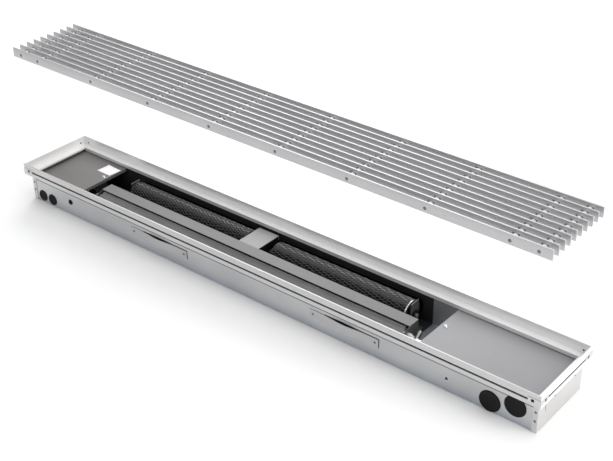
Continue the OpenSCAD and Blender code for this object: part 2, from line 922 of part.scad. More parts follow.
// Moves its child onto the upper connection, pointing up and back
module at_vent() {
    in_coil()
        at_tubes([tube_rows[3]])
            translate([coil_right + socket_length / 2, 0, 0])
                rotate([-(45 + coil_tilt), 0, 0])
                    translate([0, 0, socket_d / 2])
                        children();
}
vent_d = 10;
vent_length = 12;
vent_screw_d = 6;
vent_sink = 5;

// Air vent: a small body soldered on the upper connection
module air_vent_body() {
    color(brass)
    at_vent()
        difference() {
            translate([0, 0, -1])
                cylinder(d = vent_d, h = vent_length + 1);
            translate([0, 0, vent_length - vent_sink])
                cylinder(d = vent_screw_d + 2 * running_gap, h = vent_sink + cut);
            at_vent_socket();
        }
}

// The round socket, seen from the vent's own frame, which the vent body is cut to
module at_vent_socket() {
    translate([-socket_length, 0, -socket_d / 2])
        rotate([0, 90, 0])
            cylinder(d = socket_d, h = 2 * socket_length);
}

module air_vent_screw() {
    color(steel)
    at_vent()
        difference() {
            translate([0, 0, vent_length - vent_sink + 0.2])
                cylinder(d = vent_screw_d, h = vent_sink + 2.5);
            translate([-vent_screw_d, -0.5, vent_length + 1.5])
                cube([2 * vent_screw_d, 1, 2]);
        }
}

// Light sheet over the gap between the fans and the heat exchanger
module air_guide_strip() {
    color([0.62, 0.62, 0.63]) {
        translate([coil_left, strip_front, cover_under])
            cube([coil_length, strip_back - strip_front, cover_sheet]);
        translate([coil_left + coil_plate + edge_gap, strip_back - cover_sheet - edge_gap,
                   cover_top - strip_tongue])
            cube([coil_length - 2 * (coil_plate + edge_gap), cover_sheet, strip_tongue]);
    }
}

// Light sheet over the motor, between the two impellers
module motor_cover() {
    low = motor_x + cover_shift - cover_w / 2;
    color([0.70, 0.70, 0.70]) {
        translate([low, strip_back, cover_under])
            cube([cover_w, cover_back - strip_back, cover_sheet]);
        translate([low, cover_back - cover_sheet, cover_under - 8])
            cube([cover_w, cover_sheet, 8]);
    }
}

// Black guide sheet round the back and underside of an impeller, opening towards the coil
module fan_casing(x, length) {
    r = casing_r + casing_sheet;
    color(black)
    along_x(x, length) {
        difference() {
            translate([fan_y, fan_z])
                circle(r = r);
            translate([fan_y, fan_z])
                circle(r = casing_r);
            translate([fan_y - 2 * r, fan_z - 2 * r])
                square([2 * r, 4 * r]);
            translate([fan_y - cut, casing_lip_z])
                square([2 * r, 2 * r]);
        }
        translate([fan_y - casing_floor, fan_z - r])
            square([casing_floor, casing_sheet]);
    }
}
casing_floor = 48;

module fan_casing_left() {
    fan_casing(left_fan_x - casing_end, impeller_length + 2 * casing_end);
}

module fan_casing_right() {
    fan_casing(right_fan_x - casing_end, impeller_length + 2 * casing_end);
}

// Sheets on both sides of the motor, with a hole for the shaft
module fan_side_plates() {
    front = strip_back + edge_gap;
    color(black)
    for (s = [-1, 1])
        translate([motor_x + s * side_plate_half - casing_sheet / 2, 0, 0])
            difference() {
                translate([0, front, floor_top])
                    cube([casing_sheet, cover_back - cover_sheet - edge_gap - front,
                          cover_under - floor_top]);
                rod_x(-cut, fan_y, fan_z, shaft_d + 6, casing_sheet + 2 * cut);
            }
}

// Upright sheets at the far ends of the impellers, which carry the shaft bearings
module bearing_stands() {
    color(dark_grey)
    for (s = [-1, 1])
        translate([module_shift, 0, 0])
            mirror([s > 0 ? 0 : 1, 0, 0])
                translate([impeller_gap / 2 + stand_x, 0, 0])
                    difference() {
                        union() {
                            translate([0, fan_y - stand_w / 2, floor_top])
                                cube([stand_sheet, stand_w, stand_top - floor_top]);
                            translate([0, fan_y - stand_w / 2, floor_top])
                                cube([stand_foot, stand_w, stand_sheet]);
                        }
                        rod_x(-cut, fan_y, fan_z, bearing_d, stand_sheet + 2 * cut);
                    }
}

// Rubber-mounted sleeve bearings in the stands
module shaft_bearings() {
    color(black)
    for (s = [-1, 1])
        translate([module_shift, 0, 0])
            mirror([s > 0 ? 0 : 1, 0, 0])
                translate([impeller_gap / 2 + stand_x + stand_sheet / 2 - bearing_length / 2, 0, 0])
                    difference() {
                        rod_x(0, fan_y, fan_z, bearing_d, bearing_length);
                        rod_x(-cut, fan_y, fan_z, shaft_d + 2 * running_gap, bearing_length + 2 * cut);
                    }
}

// Double-shaft motor with stepped end shields
module fan_motor() {
    shield = 6;
    color(steel)
    difference() {
        union() {
            rod_x(motor_x - motor_length / 2 + shield, fan_y, fan_z, motor_d,
                motor_length - 2 * shield);
            rod_x(motor_x - motor_length / 2, fan_y, fan_z, motor_d * 0.7, motor_length);
        }
        rod_x(motor_x - motor_length, fan_y, fan_z, shaft_d + 2 * running_gap, 2 * motor_length);
    }
}

// Saddle bracket under the motor
module motor_cradle() {
    half = motor_d / 2 + 4;
    saddle_x = motor_length / 2 - 12;
    color(zinc)
    difference() {
        union() {
            translate([motor_x - saddle_x, fan_y - half, floor_top])
                cube([2 * saddle_x, 2 * half - 6, cradle_sheet]);
            for (s = [-1, 1])
                translate([motor_x + s * saddle_x - (s > 0 ? cradle_sheet : 0), fan_y - half, floor_top])
                    cube([cradle_sheet, 2 * half - 6, fan_z - floor_top - 6]);
        }
        rod_x(motor_x - motor_length, fan_y, fan_z, motor_d + 2 * running_gap, 2 * motor_length);
    }
}

module fan_shaft() {
    color(steel)
    rod_x(module_shift - shaft_half, fan_y, fan_z, shaft_d, 2 * shaft_half);
}

// Points of one curved blade: two arcs a blade's thickness apart across the blade ring
function blade_arc(shift) = [for (i = [0 : 4])
    let (r = impeller_d / 2 - blade_depth * i / 4, a = blade_turn * pow(i / 4, 1.5) + shift / r)
    [r * cos(a), r * sin(a)]];

module blade() {
    half = blade_sheet / 2 * 180 / PI;
    outer = blade_arc(-half);
    inner = blade_arc(half);
    polygon(concat(outer, [for (i = [4 : -1 : 0]) inner[i]]));
}

// Cross-flow impeller along +x from x = 0: staggered blade sections between rings, with an
// open spoked end at one side and a hub at both
module impeller(spoked_first) {
    section = impeller_length / section_count;
    inner_r = impeller_d / 2 - blade_depth - 1;
    difference() {
        rotate([90, 0, 90])
            union() {
                for (s = [0 : section_count - 1])
                    translate([0, 0, s * section])
                        rotate([0, 0, (s % 2) * 180 / blade_count])
                            linear_extrude(section)
                                for (b = [0 : blade_count - 1])
                                    rotate([0, 0, b * 360 / blade_count])
                                        blade();
                for (s = [0 : section_count])
                    translate([0, 0, min(s * section, impeller_length - ring_sheet)])
                        linear_extrude(ring_sheet)
                            difference() {
                                circle(d = impeller_d);
                                circle(r = inner_r);
                            }
                for (e = [0, 1])
                    translate([0, 0, e * (impeller_length - hub_length)])
                        cylinder(d = hub_d, h = hub_length);
                for (e = [0, 1])
                    translate([0, 0, e * (impeller_length - ring_sheet)])
                        linear_extrude(ring_sheet)
                            end_web((e == 0) == spoked_first);
            }
        rod_x(-cut, 0, 0, shaft_d + 2 * running_gap, impeller_length + 2 * cut);
    }
}

// End web of an impeller: four spokes at the open end, a full disc at the motor
module end_web(spoked) {
    if (spoked)
        for (t = [0, 90])
            rotate([0, 0, t])
                square([impeller_d - blade_depth, 4], center = true);
    else
        circle(d = impeller_d - blade_depth);
}

module impeller_left() {
    color(black)
    translate([left_fan_x, fan_y, fan_z]) impeller(true);
}

module impeller_right() {
    color(black)
    translate([right_fan_x, fan_y, fan_z]) impeller(false);
}

module junction_box() {
    color([0.75, 0.75, 0.74])
    translate([box_x, 0, floor_top])
        difference() {
            translate([-box_l / 2, -box_w / 2, 0])
                cube([box_l, box_w, box_h]);
            difference() {
                translate([-box_l / 2 + box_wall, -box_w / 2 + box_wall, box_wall])
                    cube([box_l - 2 * box_wall, box_w - 2 * box_wall, box_h]);
                for (s = [-1, 1])
                    for (t = [-1, 1])
                        translate([s * (box_l / 2 - 5), t * (box_w / 2 - 5), 0])
                            cylinder(d = 8, h = box_h);
            }
            for (s = [-1, 1])
                for (t = [-1, 1])
                    translate([s * (box_l / 2 - 5), t * (box_w / 2 - 5), box_h - 10])
                        cylinder(d = 3.2, h = 10 + cut);
            rod_x(box_l / 2 - box_wall - cut, loom_y, gland_z - floor_top, gland_d - 4, box_wall + 2 * cut);
        }
}

module junction_box_lid() {
    color([0.82, 0.82, 0.81])
    translate([box_x, 0, floor_top + box_h])
        difference() {
            translate([-box_l / 2, -box_w / 2, 0])
                cube([box_l, box_w, box_lid]);
            for (s = [-1, 1])
                for (t = [-1, 1])
                    translate([s * (box_l / 2 - 5), t * (box_w / 2 - 5), -cut])
                        cylinder(d = 3.2, h = box_lid + 2 * cut);
        }
}

module box_lid_screws() {
    color(steel)
    translate([box_x, 0, floor_top + box_h + box_lid])
        for (s = [-1, 1])
            for (t = [-1, 1])
                translate([s * (box_l / 2 - 5), t * (box_w / 2 - 5), 0]) {
                    cylinder(d = 5.5, h = 1.6);
                    translate([0, 0, -8])
                        cylinder(d = 3, h = 8);
                }
}

// Row of terminals on the floor of the box
module terminal_block() {
    pole = 9;
    poles = 5;
    color([0.9, 0.9, 0.88])
    translate([box_x - poles * pole / 2, 2, floor_top + box_wall])
        difference() {
            cube([poles * pole, 16, 14]);
            for (i = [0 : poles - 1])
                translate([(i + 0.5) * pole, 0, 0]) {
                    rod_y(0, -cut, 6, 4, 16 + 2 * cut);
                    translate([0, 8, 10])
                        cylinder(d = 4.5, h = 5);
                }
        }
}

// Cable gland in the box wall, round the motor's lead
module cable_glands() {
    color(black)
    difference() {
        union() {
            rod_x(box_x + box_l / 2, loom_y, gland_z, gland_d, gland_length);
            rod_x(box_x + box_l / 2 - box_wall - 3, loom_y, gland_z, gland_d - 4 - 2 * running_gap,
                box_wall + 3 + cut);
        }
        rod_x(box_x, loom_y, gland_z, loom_d + 2 * running_gap, box_l);
    }
}

// Motor lead: out of the motor, along under the strip, down a step and into the junction box
module wiring_loom() {
    start_y = fan_y - motor_d / 2 - running_gap;
    corner_x = motor_x - loom_elbow;
    color(black) {
        rod_y(motor_x, loom_y + loom_elbow, fan_z, loom_d, start_y - loom_y - loom_elbow);
        translate([corner_x, loom_y + loom_elbow, fan_z])
            rotate([0, 0, -90])
                elbow(loom_d, loom_elbow);
        rod_x(loom_step_x, loom_y, fan_z, loom_d, corner_x - loom_step_x);
        translate([loom_step_x, loom_y, fan_z - loom_drop])
            rotate([90, 0, 0])
                rotate([0, 0, 90])
                    elbow(loom_d, loom_drop);
        translate([loom_step_x - 2 * loom_drop, loom_y, gland_z + loom_drop])
            rotate([90, 0, 0])
                rotate([0, 0, -90])
                    elbow(loom_d, loom_drop);
        rod_x(loom_box_x, loom_y, gland_z, loom_d, loom_step_x - 2 * loom_drop - loom_box_x);
    }
}

// Flat bars of the grille, drilled for the cross rods
module grille_bars() {
    color([0.70, 0.70, 0.71])
    for (i = [0 : bar_count - 1])
        translate([-bar_length / 2, -grille_w / 2 + i * bar_pitch + bar_thickness, grille_bottom])
            rotate([90, 0, 0])
                linear_extrude(bar_thickness)
                    difference() {
                        square([bar_length, bar_height]);
                        for (x = rod_at)
                            translate([bar_length / 2 + x, rod_height])
                                circle(d = rod_d + shank_gap);
                    }
}

// Cross rods with riveted heads
module grille_rods() {
    color(steel)
    for (x = rod_at) {
        rod_y(x, -grille_w / 2, rod_z, rod_d, grille_w);
        rod_y(x, -grille_w / 2 - rod_head_h, rod_z, rod_head_d, rod_head_h);
        rod_y(x, grille_w / 2, rod_z, rod_head_d, rod_head_h);
    }
}

// Spacer sleeves on the rods between the bars
module grille_spacers() {
    color(steel)
    for (x = rod_at)
        for (i = [0 : bar_count - 2])
            difference() {
                rod_y(x, -grille_w / 2 + i * bar_pitch + bar_thickness, rod_z, spacer_d,
                    bar_pitch - bar_thickness);
                rod_y(x, -grille_w / 2 + i * bar_pitch, rod_z, rod_d + shank_gap, 2 * bar_pitch);
            }
}

trough_tray();
end_cap_left();
end_cap_right();
end_cap_rivets();
cover_rests();
rim_front();
rim_back();
rim_left();
rim_right();
rim_corner_blocks();
rim_corner_screws();
anchor_plates();
anchor_rivets();
pipe_entry_plugs();
cable_entry_plugs();
cable_grommet();
cover_plate_left();
cover_plate_right();
cover_brackets();
cover_screws();
coil_fins();
coil_tubes();
coil_return_bends();
coil_end_plate_left();
coil_end_plate_right();
pipe_connections();
air_vent_body();
air_vent_screw();
air_guide_strip();
motor_cover();
fan_casing_left();
fan_casing_right();
fan_side_plates();
bearing_stands();
shaft_bearings();
fan_motor();
motor_cradle();
fan_shaft();
impeller_left();
impeller_right();
junction_box();
junction_box_lid();
box_lid_screws();
terminal_block();
cable_glands();
wiring_loom();
grille_bars();
grille_rods();
grille_spacers();
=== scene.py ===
"""Finishes, fine pieces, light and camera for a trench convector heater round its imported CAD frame.

The trough, rim, covers and inner works keep their CAD meshes and get worked-out metal finishes. The pieces
whose fine form matters are new surfaces: the grille's eased bars with riveted rods and sleeves, the rippled
fins of the heat exchanger and the skewed blades of the two cross-flow impellers.
"""

import logging
import math
from dataclasses import dataclass, replace
from enum import Enum
from functools import cache, reduce

import bpy
import numpy as np
from mathutils import Matrix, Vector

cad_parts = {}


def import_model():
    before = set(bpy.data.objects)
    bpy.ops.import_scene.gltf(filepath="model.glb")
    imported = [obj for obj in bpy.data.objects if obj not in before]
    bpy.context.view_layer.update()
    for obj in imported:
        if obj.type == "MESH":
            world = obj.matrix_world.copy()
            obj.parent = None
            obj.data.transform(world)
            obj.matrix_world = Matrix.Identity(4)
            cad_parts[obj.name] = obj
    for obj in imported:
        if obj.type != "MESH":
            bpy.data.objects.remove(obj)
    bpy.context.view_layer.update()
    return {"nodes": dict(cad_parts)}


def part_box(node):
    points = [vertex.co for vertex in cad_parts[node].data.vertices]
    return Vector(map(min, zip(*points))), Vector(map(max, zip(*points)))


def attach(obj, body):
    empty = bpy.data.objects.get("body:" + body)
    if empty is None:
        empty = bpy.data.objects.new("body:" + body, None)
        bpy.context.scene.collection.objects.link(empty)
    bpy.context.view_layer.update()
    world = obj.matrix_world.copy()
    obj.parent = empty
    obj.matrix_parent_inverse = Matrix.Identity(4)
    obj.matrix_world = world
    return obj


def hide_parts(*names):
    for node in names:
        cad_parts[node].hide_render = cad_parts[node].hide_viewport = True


LOG = logging.getLogger("trench_heater")
MM = 0.001

Colour = tuple[float, float, float]
Point = tuple[float, float, float]
Mark = tuple[Point, Point, float]
WHITE: Colour = (1.0, 1.0, 1.0)
NOISE_SPAN: tuple[float, float] = (0.3, 0.7)


class Body(str, Enum):
    """The rigid bodies that a piece can ride on."""

    TROUGH = "trough"
    ROTOR = "fan_rotor"
    GRILLE = "grille"
    VENT = "vent_screw"


class Along(Enum):
    """The direction in which a sheet or bar was rolled or brushed."""

    X = (0.04, 1.0, 1.0)
    Y = (1.0, 0.04, 1.0)
    NONE = (1.0, 1.0, 1.0)


class NodeSheet:
    """One material's node tree, with short calls for the nodes that the finishes use."""

    def __init__(self, name: str) -> None:
        """Starts a material whose tree holds a Principled shader and an output.

        Args:
            name: the material's name.
        """
        self.material = bpy.data.materials.new(name)
        self.material.use_nodes = True
        self.tree = self.material.node_tree
        self.shader = self.tree.nodes["Principled BSDF"]
        self.place = self.tree.nodes.new("ShaderNodeTexCoord").outputs["Object"]

    def link(self, source: bpy.types.NodeSocket, target: bpy.types.NodeSocket) -> None:
        """Joins two sockets."""
        self.tree.links.new(source, target)

    def mapped(self, scale: Point) -> bpy.types.NodeSocket:
        """Gives the object coordinates, scaled along each axis.

        Args:
            scale: factors along X, Y and Z.

        Returns:
            The socket of the scaled coordinates.
        """
        node = self.tree.nodes.new("ShaderNodeMapping")
        node.inputs["Scale"].default_value = scale
        self.link(self.place, node.inputs["Vector"])
        return node.outputs["Vector"]

    def noise(self, scale: float, stretch: Point, detail: float = 3.0) -> bpy.types.NodeSocket:
        """Gives smooth noise on the object coordinates.

        Args:
            scale: cycles per metre before the stretch.
            stretch: factors along X, Y and Z; a small one draws the noise out along that axis.
            detail: octaves of the noise.

        Returns:
            The socket of the noise value, mostly within NOISE_SPAN.
        """
        node = self.tree.nodes.new("ShaderNodeTexNoise")
        node.inputs["Scale"].default_value = scale
        node.inputs["Detail"].default_value = detail
        self.link(self.mapped(stretch), node.inputs["Vector"])
        return node.outputs["Fac"]

    def height(self) -> bpy.types.NodeSocket:
        """Gives the object's Z coordinate.

        Returns:
            The socket of the height in metres.
        """
        node = self.tree.nodes.new("ShaderNodeSeparateXYZ")
        self.link(self.place, node.inputs["Vector"])
        return node.outputs["Z"]

    def maths(self, operation: str, first: bpy.types.NodeSocket,
              second: bpy.types.NodeSocket | float) -> bpy.types.NodeSocket:
        """Works out one value from two.

        Args:
            operation: the name of the operation.
            first: the socket of the first value.
            second: the socket of the second value, or the value itself.

        Returns:
            The socket of the result.
        """
        node = self.tree.nodes.new("ShaderNodeMath")
        node.operation = operation
        self.link(first, node.inputs[0])
        if isinstance(second, bpy.types.NodeSocket):
            self.link(second, node.inputs[1])
        else:
            node.inputs[1].default_value = second
        return node.outputs["Value"]

    def vector_maths(self, operation: str, vector: bpy.types.NodeSocket,
                     other: Point = (0.0, 0.0, 0.0)) -> bpy.types.Node:
        """Works out a vector or a value from a vector.

        Args:
            operation: the name of the operation.
            vector: the socket of the vector.
            other: the plain second vector, for the operations that use one.

        Returns:
            The node, whose outputs are Vector and Value.
        """
        node = self.tree.nodes.new("ShaderNodeVectorMath")
        node.operation = operation
        node.inputs[1].default_value = other
        self.link(vector, node.inputs[0])
        return node

    def radius(self, axis: tuple[float, float]) -> bpy.types.NodeSocket:
        """Gives the distance from an axis along X, by the length of the offset scaled to the YZ plane.

        Args:
            axis: y and z of the axis in metres.

        Returns:
            The socket of the distance in metres.
        """
        flat = self.vector_maths("MULTIPLY", self.place, (0.0, 1.0, 1.0)).outputs["Vector"]
        offset = self.vector_maths("SUBTRACT", flat, (0.0, *axis)).outputs["Vector"]
        return self.vector_maths("LENGTH", offset).outputs["Value"]

    def within(self, low: Point, high: Point) -> bpy.types.NodeSocket:
        """Tells where a point lies between two corners, by the product of six comparisons.

        Args:
            low: the lowest corner in metres.
            high: the highest corner in metres.

        Returns:
            The socket of 1 inside the box and 0 outside it.
        """
        split = self.tree.nodes.new("ShaderNodeSeparateXYZ")
        self.link(self.place, split.inputs["Vector"])
        tests = [self.maths(operation, split.outputs[axis], limit)
                 for axis, start, end in zip("XYZ", low, high)
                 for operation, limit in (("GREATER_THAN", start), ("LESS_THAN", end))]
        return reduce(lambda product, test: self.maths("MULTIPLY", product, test), tests)

    def ramp(self, value: bpy.types.NodeSocket, span: tuple[float, float],
             result: tuple[float, float] = (0.0, 1.0)) -> bpy.types.NodeSocket:
        """Maps a span of values straight onto another one, and holds its ends outside the span.

        Args:
            value: the socket to map.
            span: the values at which the map starts and ends.
            result: what these two become.

        Returns:
            The socket of the mapped value.
        """
        node = self.tree.nodes.new("ShaderNodeMapRange")
        for name, number in zip(("From Min", "From Max", "To Min", "To Max"), (*span, *result)):
            node.inputs[name].default_value = number
        self.link(value, node.inputs["Value"])
        return node.outputs["Result"]

    def blend(self, share: bpy.types.NodeSocket, low: Colour, high: Colour) -> bpy.types.NodeSocket:
        """Mixes two colours by a share from 0 to 1.

        Args:
            share: the socket of the share of the second colour.
            low: the colour at 0.
            high: the colour at 1.

        Returns:
            The socket of the mixed colour.
        """
        node = self.tree.nodes.new("ShaderNodeMix")
        node.data_type = "RGBA"
        node.inputs["A"].default_value = (*low, 1.0)
        node.inputs["B"].default_value = (*high, 1.0)
        self.link(share, node.inputs["Factor"])
        return node.outputs["Result"]

    def times(self, first: bpy.types.NodeSocket, second: bpy.types.NodeSocket) -> bpy.types.NodeSocket:
        """Multiplies two colours.

        Args:
            first: the socket of one colour.
            second: the socket of the other.

        Returns:
            The socket of the product.
        """
        node = self.tree.nodes.new("ShaderNodeMix")
        node.data_type = "RGBA"
        node.blend_type = "MULTIPLY"
        node.inputs["Factor"].default_value = 1.0
        self.link(first, node.inputs["A"])
        self.link(second, node.inputs["B"])
        return node.outputs["Result"]

    def bump(self, value: bpy.types.NodeSocket, depth: float, strength: float) -> None:
        """Raises the surface by a value.

        Args:
            value: the socket that gives the height.
            depth: the height in metres at a value of 1.
            strength: share of the effect.
        """
        node = self.tree.nodes.new("ShaderNodeBump")
        node.inputs["Distance"].default_value = depth
        node.inputs["Strength"].default_value = strength
        self.link(value, node.inputs["Height"])
        self.link(node.outputs["Normal"], self.shader.inputs["Normal"])

    def set(self, **sockets: float) -> None:
        """Sets plain values on the shader, where a name's underscores stand for spaces."""
        for name, value in sockets.items():
            self.shader.inputs[name.replace("_", " ")].default_value = value


def shades(colour: Colour, clouding: float) -> tuple[Colour, Colour]:
    """Makes a colour darker and lighter by a share.

    Args:
        colour: the mean colour.
        clouding: the share.

    Returns:
        The darker and the lighter colour, with no channel over 1.
    """
    dark = tuple(channel * (1.0 - clouding) for channel in colour)
    light = tuple(min(1.0, channel * (1.0 + clouding)) for channel in colour)
    return dark, light


@dataclass(frozen=True)
class SheetMetal:
    """Rolled or brushed metal: fine grain along one direction, faint clouding and a satin sheen.

    Attributes:
        name: the material's name.
        colour: the metal's colour.
        metallic: how far it reflects as metal.
        roughness: the mean roughness.
        grain: the direction of the grain.
        clouding: how much the colour varies over a few centimetres.
        scratch: height of the grain in metres.
        painted_reflection_tint: colour factor at the foot of a wall, where the sheet mirrors the ground.
        foot: the height over which that factor fades out.
        marks: boxes in which the surface is darker, each with its lowest corner, highest corner and factor.
        unevenness: share by which the grain moves the roughness.
        grain_scale: cycles of the grain per metre.
        cloud_scale: cycles of the clouding per metre.
        cloud_stretch: factors on these cycles along X, Y and Z.
        relief: share of the grain's height that shows.
    """

    name: str
    colour: Colour
    metallic: float = 0.7
    roughness: float = 0.36
    grain: Along = Along.X
    clouding: float = 0.08
    scratch: float = 0.00002
    painted_reflection_tint: Colour = WHITE
    foot: float = 0.0
    marks: tuple[Mark, ...] = ()
    unevenness: float = 0.12
    grain_scale: float = 1400.0
    cloud_scale: float = 14.0
    cloud_stretch: Point = (0.5, 1.0, 1.0)
    relief: float = 0.35

    def material(self) -> bpy.types.Material:
        """Builds the node tree: grain noise drives roughness and bump, slow noise drives the colour.

        Returns:
            The new material.
        """
        sheet = NodeSheet(self.name)
        grain = sheet.noise(self.grain_scale, self.grain.value, detail=4.0)
        cloud = sheet.noise(self.cloud_scale, self.cloud_stretch, detail=2.0)
        colour = sheet.blend(sheet.ramp(cloud, NOISE_SPAN), *shades(self.colour, self.clouding))
        # Painted reflection: the foot of a wall is tinted darker and bluish, as if the sheet mirrored the
        # ground.
        if self.foot > 0.0:
            share = sheet.ramp(sheet.height(), (0.0, self.foot))
            colour = sheet.times(colour, sheet.blend(share, self.painted_reflection_tint, WHITE))
        # Painted shade for the most part: each mark darkens the colour inside its box.
        for low, high, factor in self.marks:
            colour = sheet.times(colour, sheet.blend(sheet.within(low, high), WHITE, (factor,) * 3))
        sheet.link(colour, sheet.shader.inputs["Base Color"])
        spread = (self.roughness * (1.0 - self.unevenness), self.roughness * (1.0 + self.unevenness))
        sheet.link(sheet.ramp(grain, NOISE_SPAN, spread), sheet.shader.inputs["Roughness"])
        sheet.bump(grain, self.scratch, self.relief)
        sheet.set(Metallic=self.metallic)
        return sheet.material


@dataclass(frozen=True)
class DrumMetal:
    """Thin painted sheet of a drum's blades, with painted shade that darkens it from the rim towards the
    axis.

    Attributes:
        name: the material's name.
        axis: y and z of the drum's axis in metres.
        core: radius at which the sheet is darkest.
        rim: radius of the blades' edges, where the painted shade ends.
        dark: the colour at the core.
        bright: the colour at the rim.
        roughness: the mean roughness.
        unevenness: the factors on the roughness between which the grain moves it.
        metallic: how far it reflects as metal.
        grain_scale: cycles of the grain per metre.
        grain_depth: height of the grain in metres.
        relief: share of the grain's height that shows.
    """

    name: str
    axis: tuple[float, float]
    core: float
    rim: float
    dark: float = 0.004
    bright: float = 0.10
    roughness: float = 0.20
    unevenness: tuple[float, float] = (0.85, 1.2)
    metallic: float = 0.7
    grain_scale: float = 700.0
    grain_depth: float = 0.000008
    relief: float = 0.3

    def material(self) -> bpy.types.Material:
        """Builds the node tree: the distance from the axis drives the colour, and noise the roughness.

        Returns:
            The new material.
        """
        sheet = NodeSheet(self.name)
        # Painted shade: the blades darken the deeper they lie inside the drum.
        share = sheet.ramp(sheet.radius(self.axis), (self.core, self.rim))
        colour = sheet.blend(share, (self.dark,) * 3, (self.bright,) * 3)
        sheet.link(colour, sheet.shader.inputs["Base Color"])
        grain = sheet.noise(self.grain_scale, Along.NONE.value)
        spread = (self.roughness * self.unevenness[0], self.roughness * self.unevenness[1])
        sheet.link(sheet.ramp(grain, NOISE_SPAN, spread), sheet.shader.inputs["Roughness"])
        sheet.bump(grain, self.grain_depth, self.relief)
        sheet.set(Metallic=self.metallic)
        return sheet.material


@dataclass(frozen=True)
class Moulded:
    """Moulded plastic, rubber or matt paint with a fine orange-peel surface.

    Attributes:
        name: the material's name.
        colour: the colour.
        roughness: the mean roughness.
        grain_scale: cycles per metre of the surface's grain.
        grain_depth: height of the grain in metres.
        clouding: how much the colour varies.
        gloss: specular level.
        unevenness: share by which the grain moves the roughness.
        cloud_scale: cycles of the clouding per metre.
        relief: share of the grain's height that shows.
    """

    name: str
    colour: Colour
    roughness: float = 0.5
    grain_scale: float = 900.0
    grain_depth: float = 0.00003
    clouding: float = 0.1
    gloss: float = 0.5
    unevenness: float = 0.15
    cloud_scale: float = 40.0
    relief: float = 0.4

    def material(self) -> bpy.types.Material:
        """Builds the node tree: one noise for the grain and one for the clouding of the colour.

        Returns:
            The new material.
        """
        sheet = NodeSheet(self.name)
        grain = sheet.noise(self.grain_scale, Along.NONE.value)
        cloud = sheet.noise(self.cloud_scale, Along.NONE.value, detail=2.0)
        sheet.link(sheet.blend(cloud, *shades(self.colour, self.clouding)), sheet.shader.inputs["Base Color"])
        roughest = min(1.0, self.roughness * (1.0 + self.unevenness))
        spread = (self.roughness * (1.0 - self.unevenness), roughest)
        sheet.link(sheet.ramp(grain, NOISE_SPAN, spread), sheet.shader.inputs["Roughness"])
        sheet.bump(grain, self.grain_depth, self.relief)
        sheet.set(Specular_IOR_Level=self.gloss)
        return sheet.material


Finish = SheetMetal | DrumMetal | Moulded


@cache
def made_of(finish: Finish) -> bpy.types.Material:
    """Gives a finish's material, which is built at the first call."""
    return finish.material()


AXIS_X, AXIS_Y = 0, 1


def both_sides(axis: int, low: Point, high: Point, factor: float) -> tuple[Mark, Mark]:
    """Gives a mark and its mirror image across the heater's middle.

    Args:
        axis: AXIS_X or AXIS_Y, the axis on which the image lies across from the mark.
        low: the mark's lowest corner in metres.
        high: its highest corner.
        factor: how much of the colour is left inside it.

    Returns:
        The mark and its image.
    """
    image_low = tuple(-high[i] if i == axis else low[i] for i in range(3))
    image_high = tuple(-low[i] if i == axis else high[i] for i in range(3))
    return (low, high, factor), (image_low, image_high, factor)


# Boxes darkened in the colour, in metres; most of them are painted shade
# The tray's inside: much darker up to the fans' right end, partly a dark coating and partly painted shade;
# barely darker beyond it.
TRAY_INSIDE_COATING_AND_SHADE: tuple[Mark, ...] = (((-0.6395, -0.0753, 0.0006), (0.330, 0.0753, 0.066), 0.12),
                                 ((0.330, -0.0753, 0.0006), (0.6395, 0.0753, 0.066), 0.95))
# Painted shadow on the long walls under the rim's lip.
PAINTED_SHADOW_UNDER_LIP: tuple[Mark, ...] = both_sides(AXIS_Y, (-0.65, -0.0775, 0.0502), (0.65, -0.0759, 0.0675), 0.34)
# Painted shade in the gaps between the anchor plates and the walls.
PAINTED_SHADE_BEHIND_PLATES: tuple[Mark, ...] = (((-0.292, -0.0769, 0.0248), (-0.1665, -0.0759, 0.0446), 0.03),
                                   ((0.188, -0.0769, 0.0248), (0.3135, -0.0759, 0.0446), 0.03),
                                   ((-0.328, 0.0759, 0.0255), (-0.168, 0.0769, 0.0446), 0.03),
                                   ((0.152, 0.0759, 0.0255), (0.312, 0.0769, 0.0446), 0.03))
# Painted shade in the long rims' groove, and a lighter painted shade just below it on the lip's upper edge.
PAINTED_SHADE_IN_LONG_GROOVES: tuple[Mark, ...] = (
    *both_sides(AXIS_Y, (-0.651, -0.0899, 0.0744), (0.651, -0.0875, 0.0766), 0.05),
    *both_sides(AXIS_Y, (-0.651, -0.0905, 0.0732), (0.651, -0.0875, 0.0744), 0.25))
# Painted shade in the end rims' grooves.
PAINTED_SHADE_IN_END_GROOVES: tuple[Mark, ...] = both_sides(AXIS_X, (-0.6499, -0.091, 0.0744), (-0.6475, 0.091, 0.0766), 0.05)
# Painted shade along the end caps' upper edges.
PAINTED_SHADE_ON_CAP_TOPS: tuple[Mark, ...] = both_sides(AXIS_X, (-0.645, -0.08, 0.0615), (-0.6395, 0.08, 0.0675), 0.35)
SCREW_Z: float = 0.0755
SCREW_SHADE: float = 0.0030
SCREW_SKIN: float = 0.0012
SCREW_LOW: float = SCREW_Z - SCREW_SHADE
SCREW_HIGH: float = SCREW_Z + SCREW_SHADE
# Dark squares round the corner screws: partly the screw heads, which are larger than the modelled ones, and
# partly painted shade in their recesses.
SCREW_HEADS_AND_PAINTED_SHADE: tuple[Mark, ...] = tuple(
    ((x - reach_x, y - reach_y, SCREW_LOW), (x + reach_x, y + reach_y, SCREW_HIGH), 0.06)
    for far_x, far_y, reach_x, reach_y in ((0.6495, 0.074, SCREW_SKIN, SCREW_SHADE),
                                           (0.634, 0.0895, SCREW_SHADE, SCREW_SKIN))
    for x in (-far_x, far_x)
    for y in (-far_y, far_y))


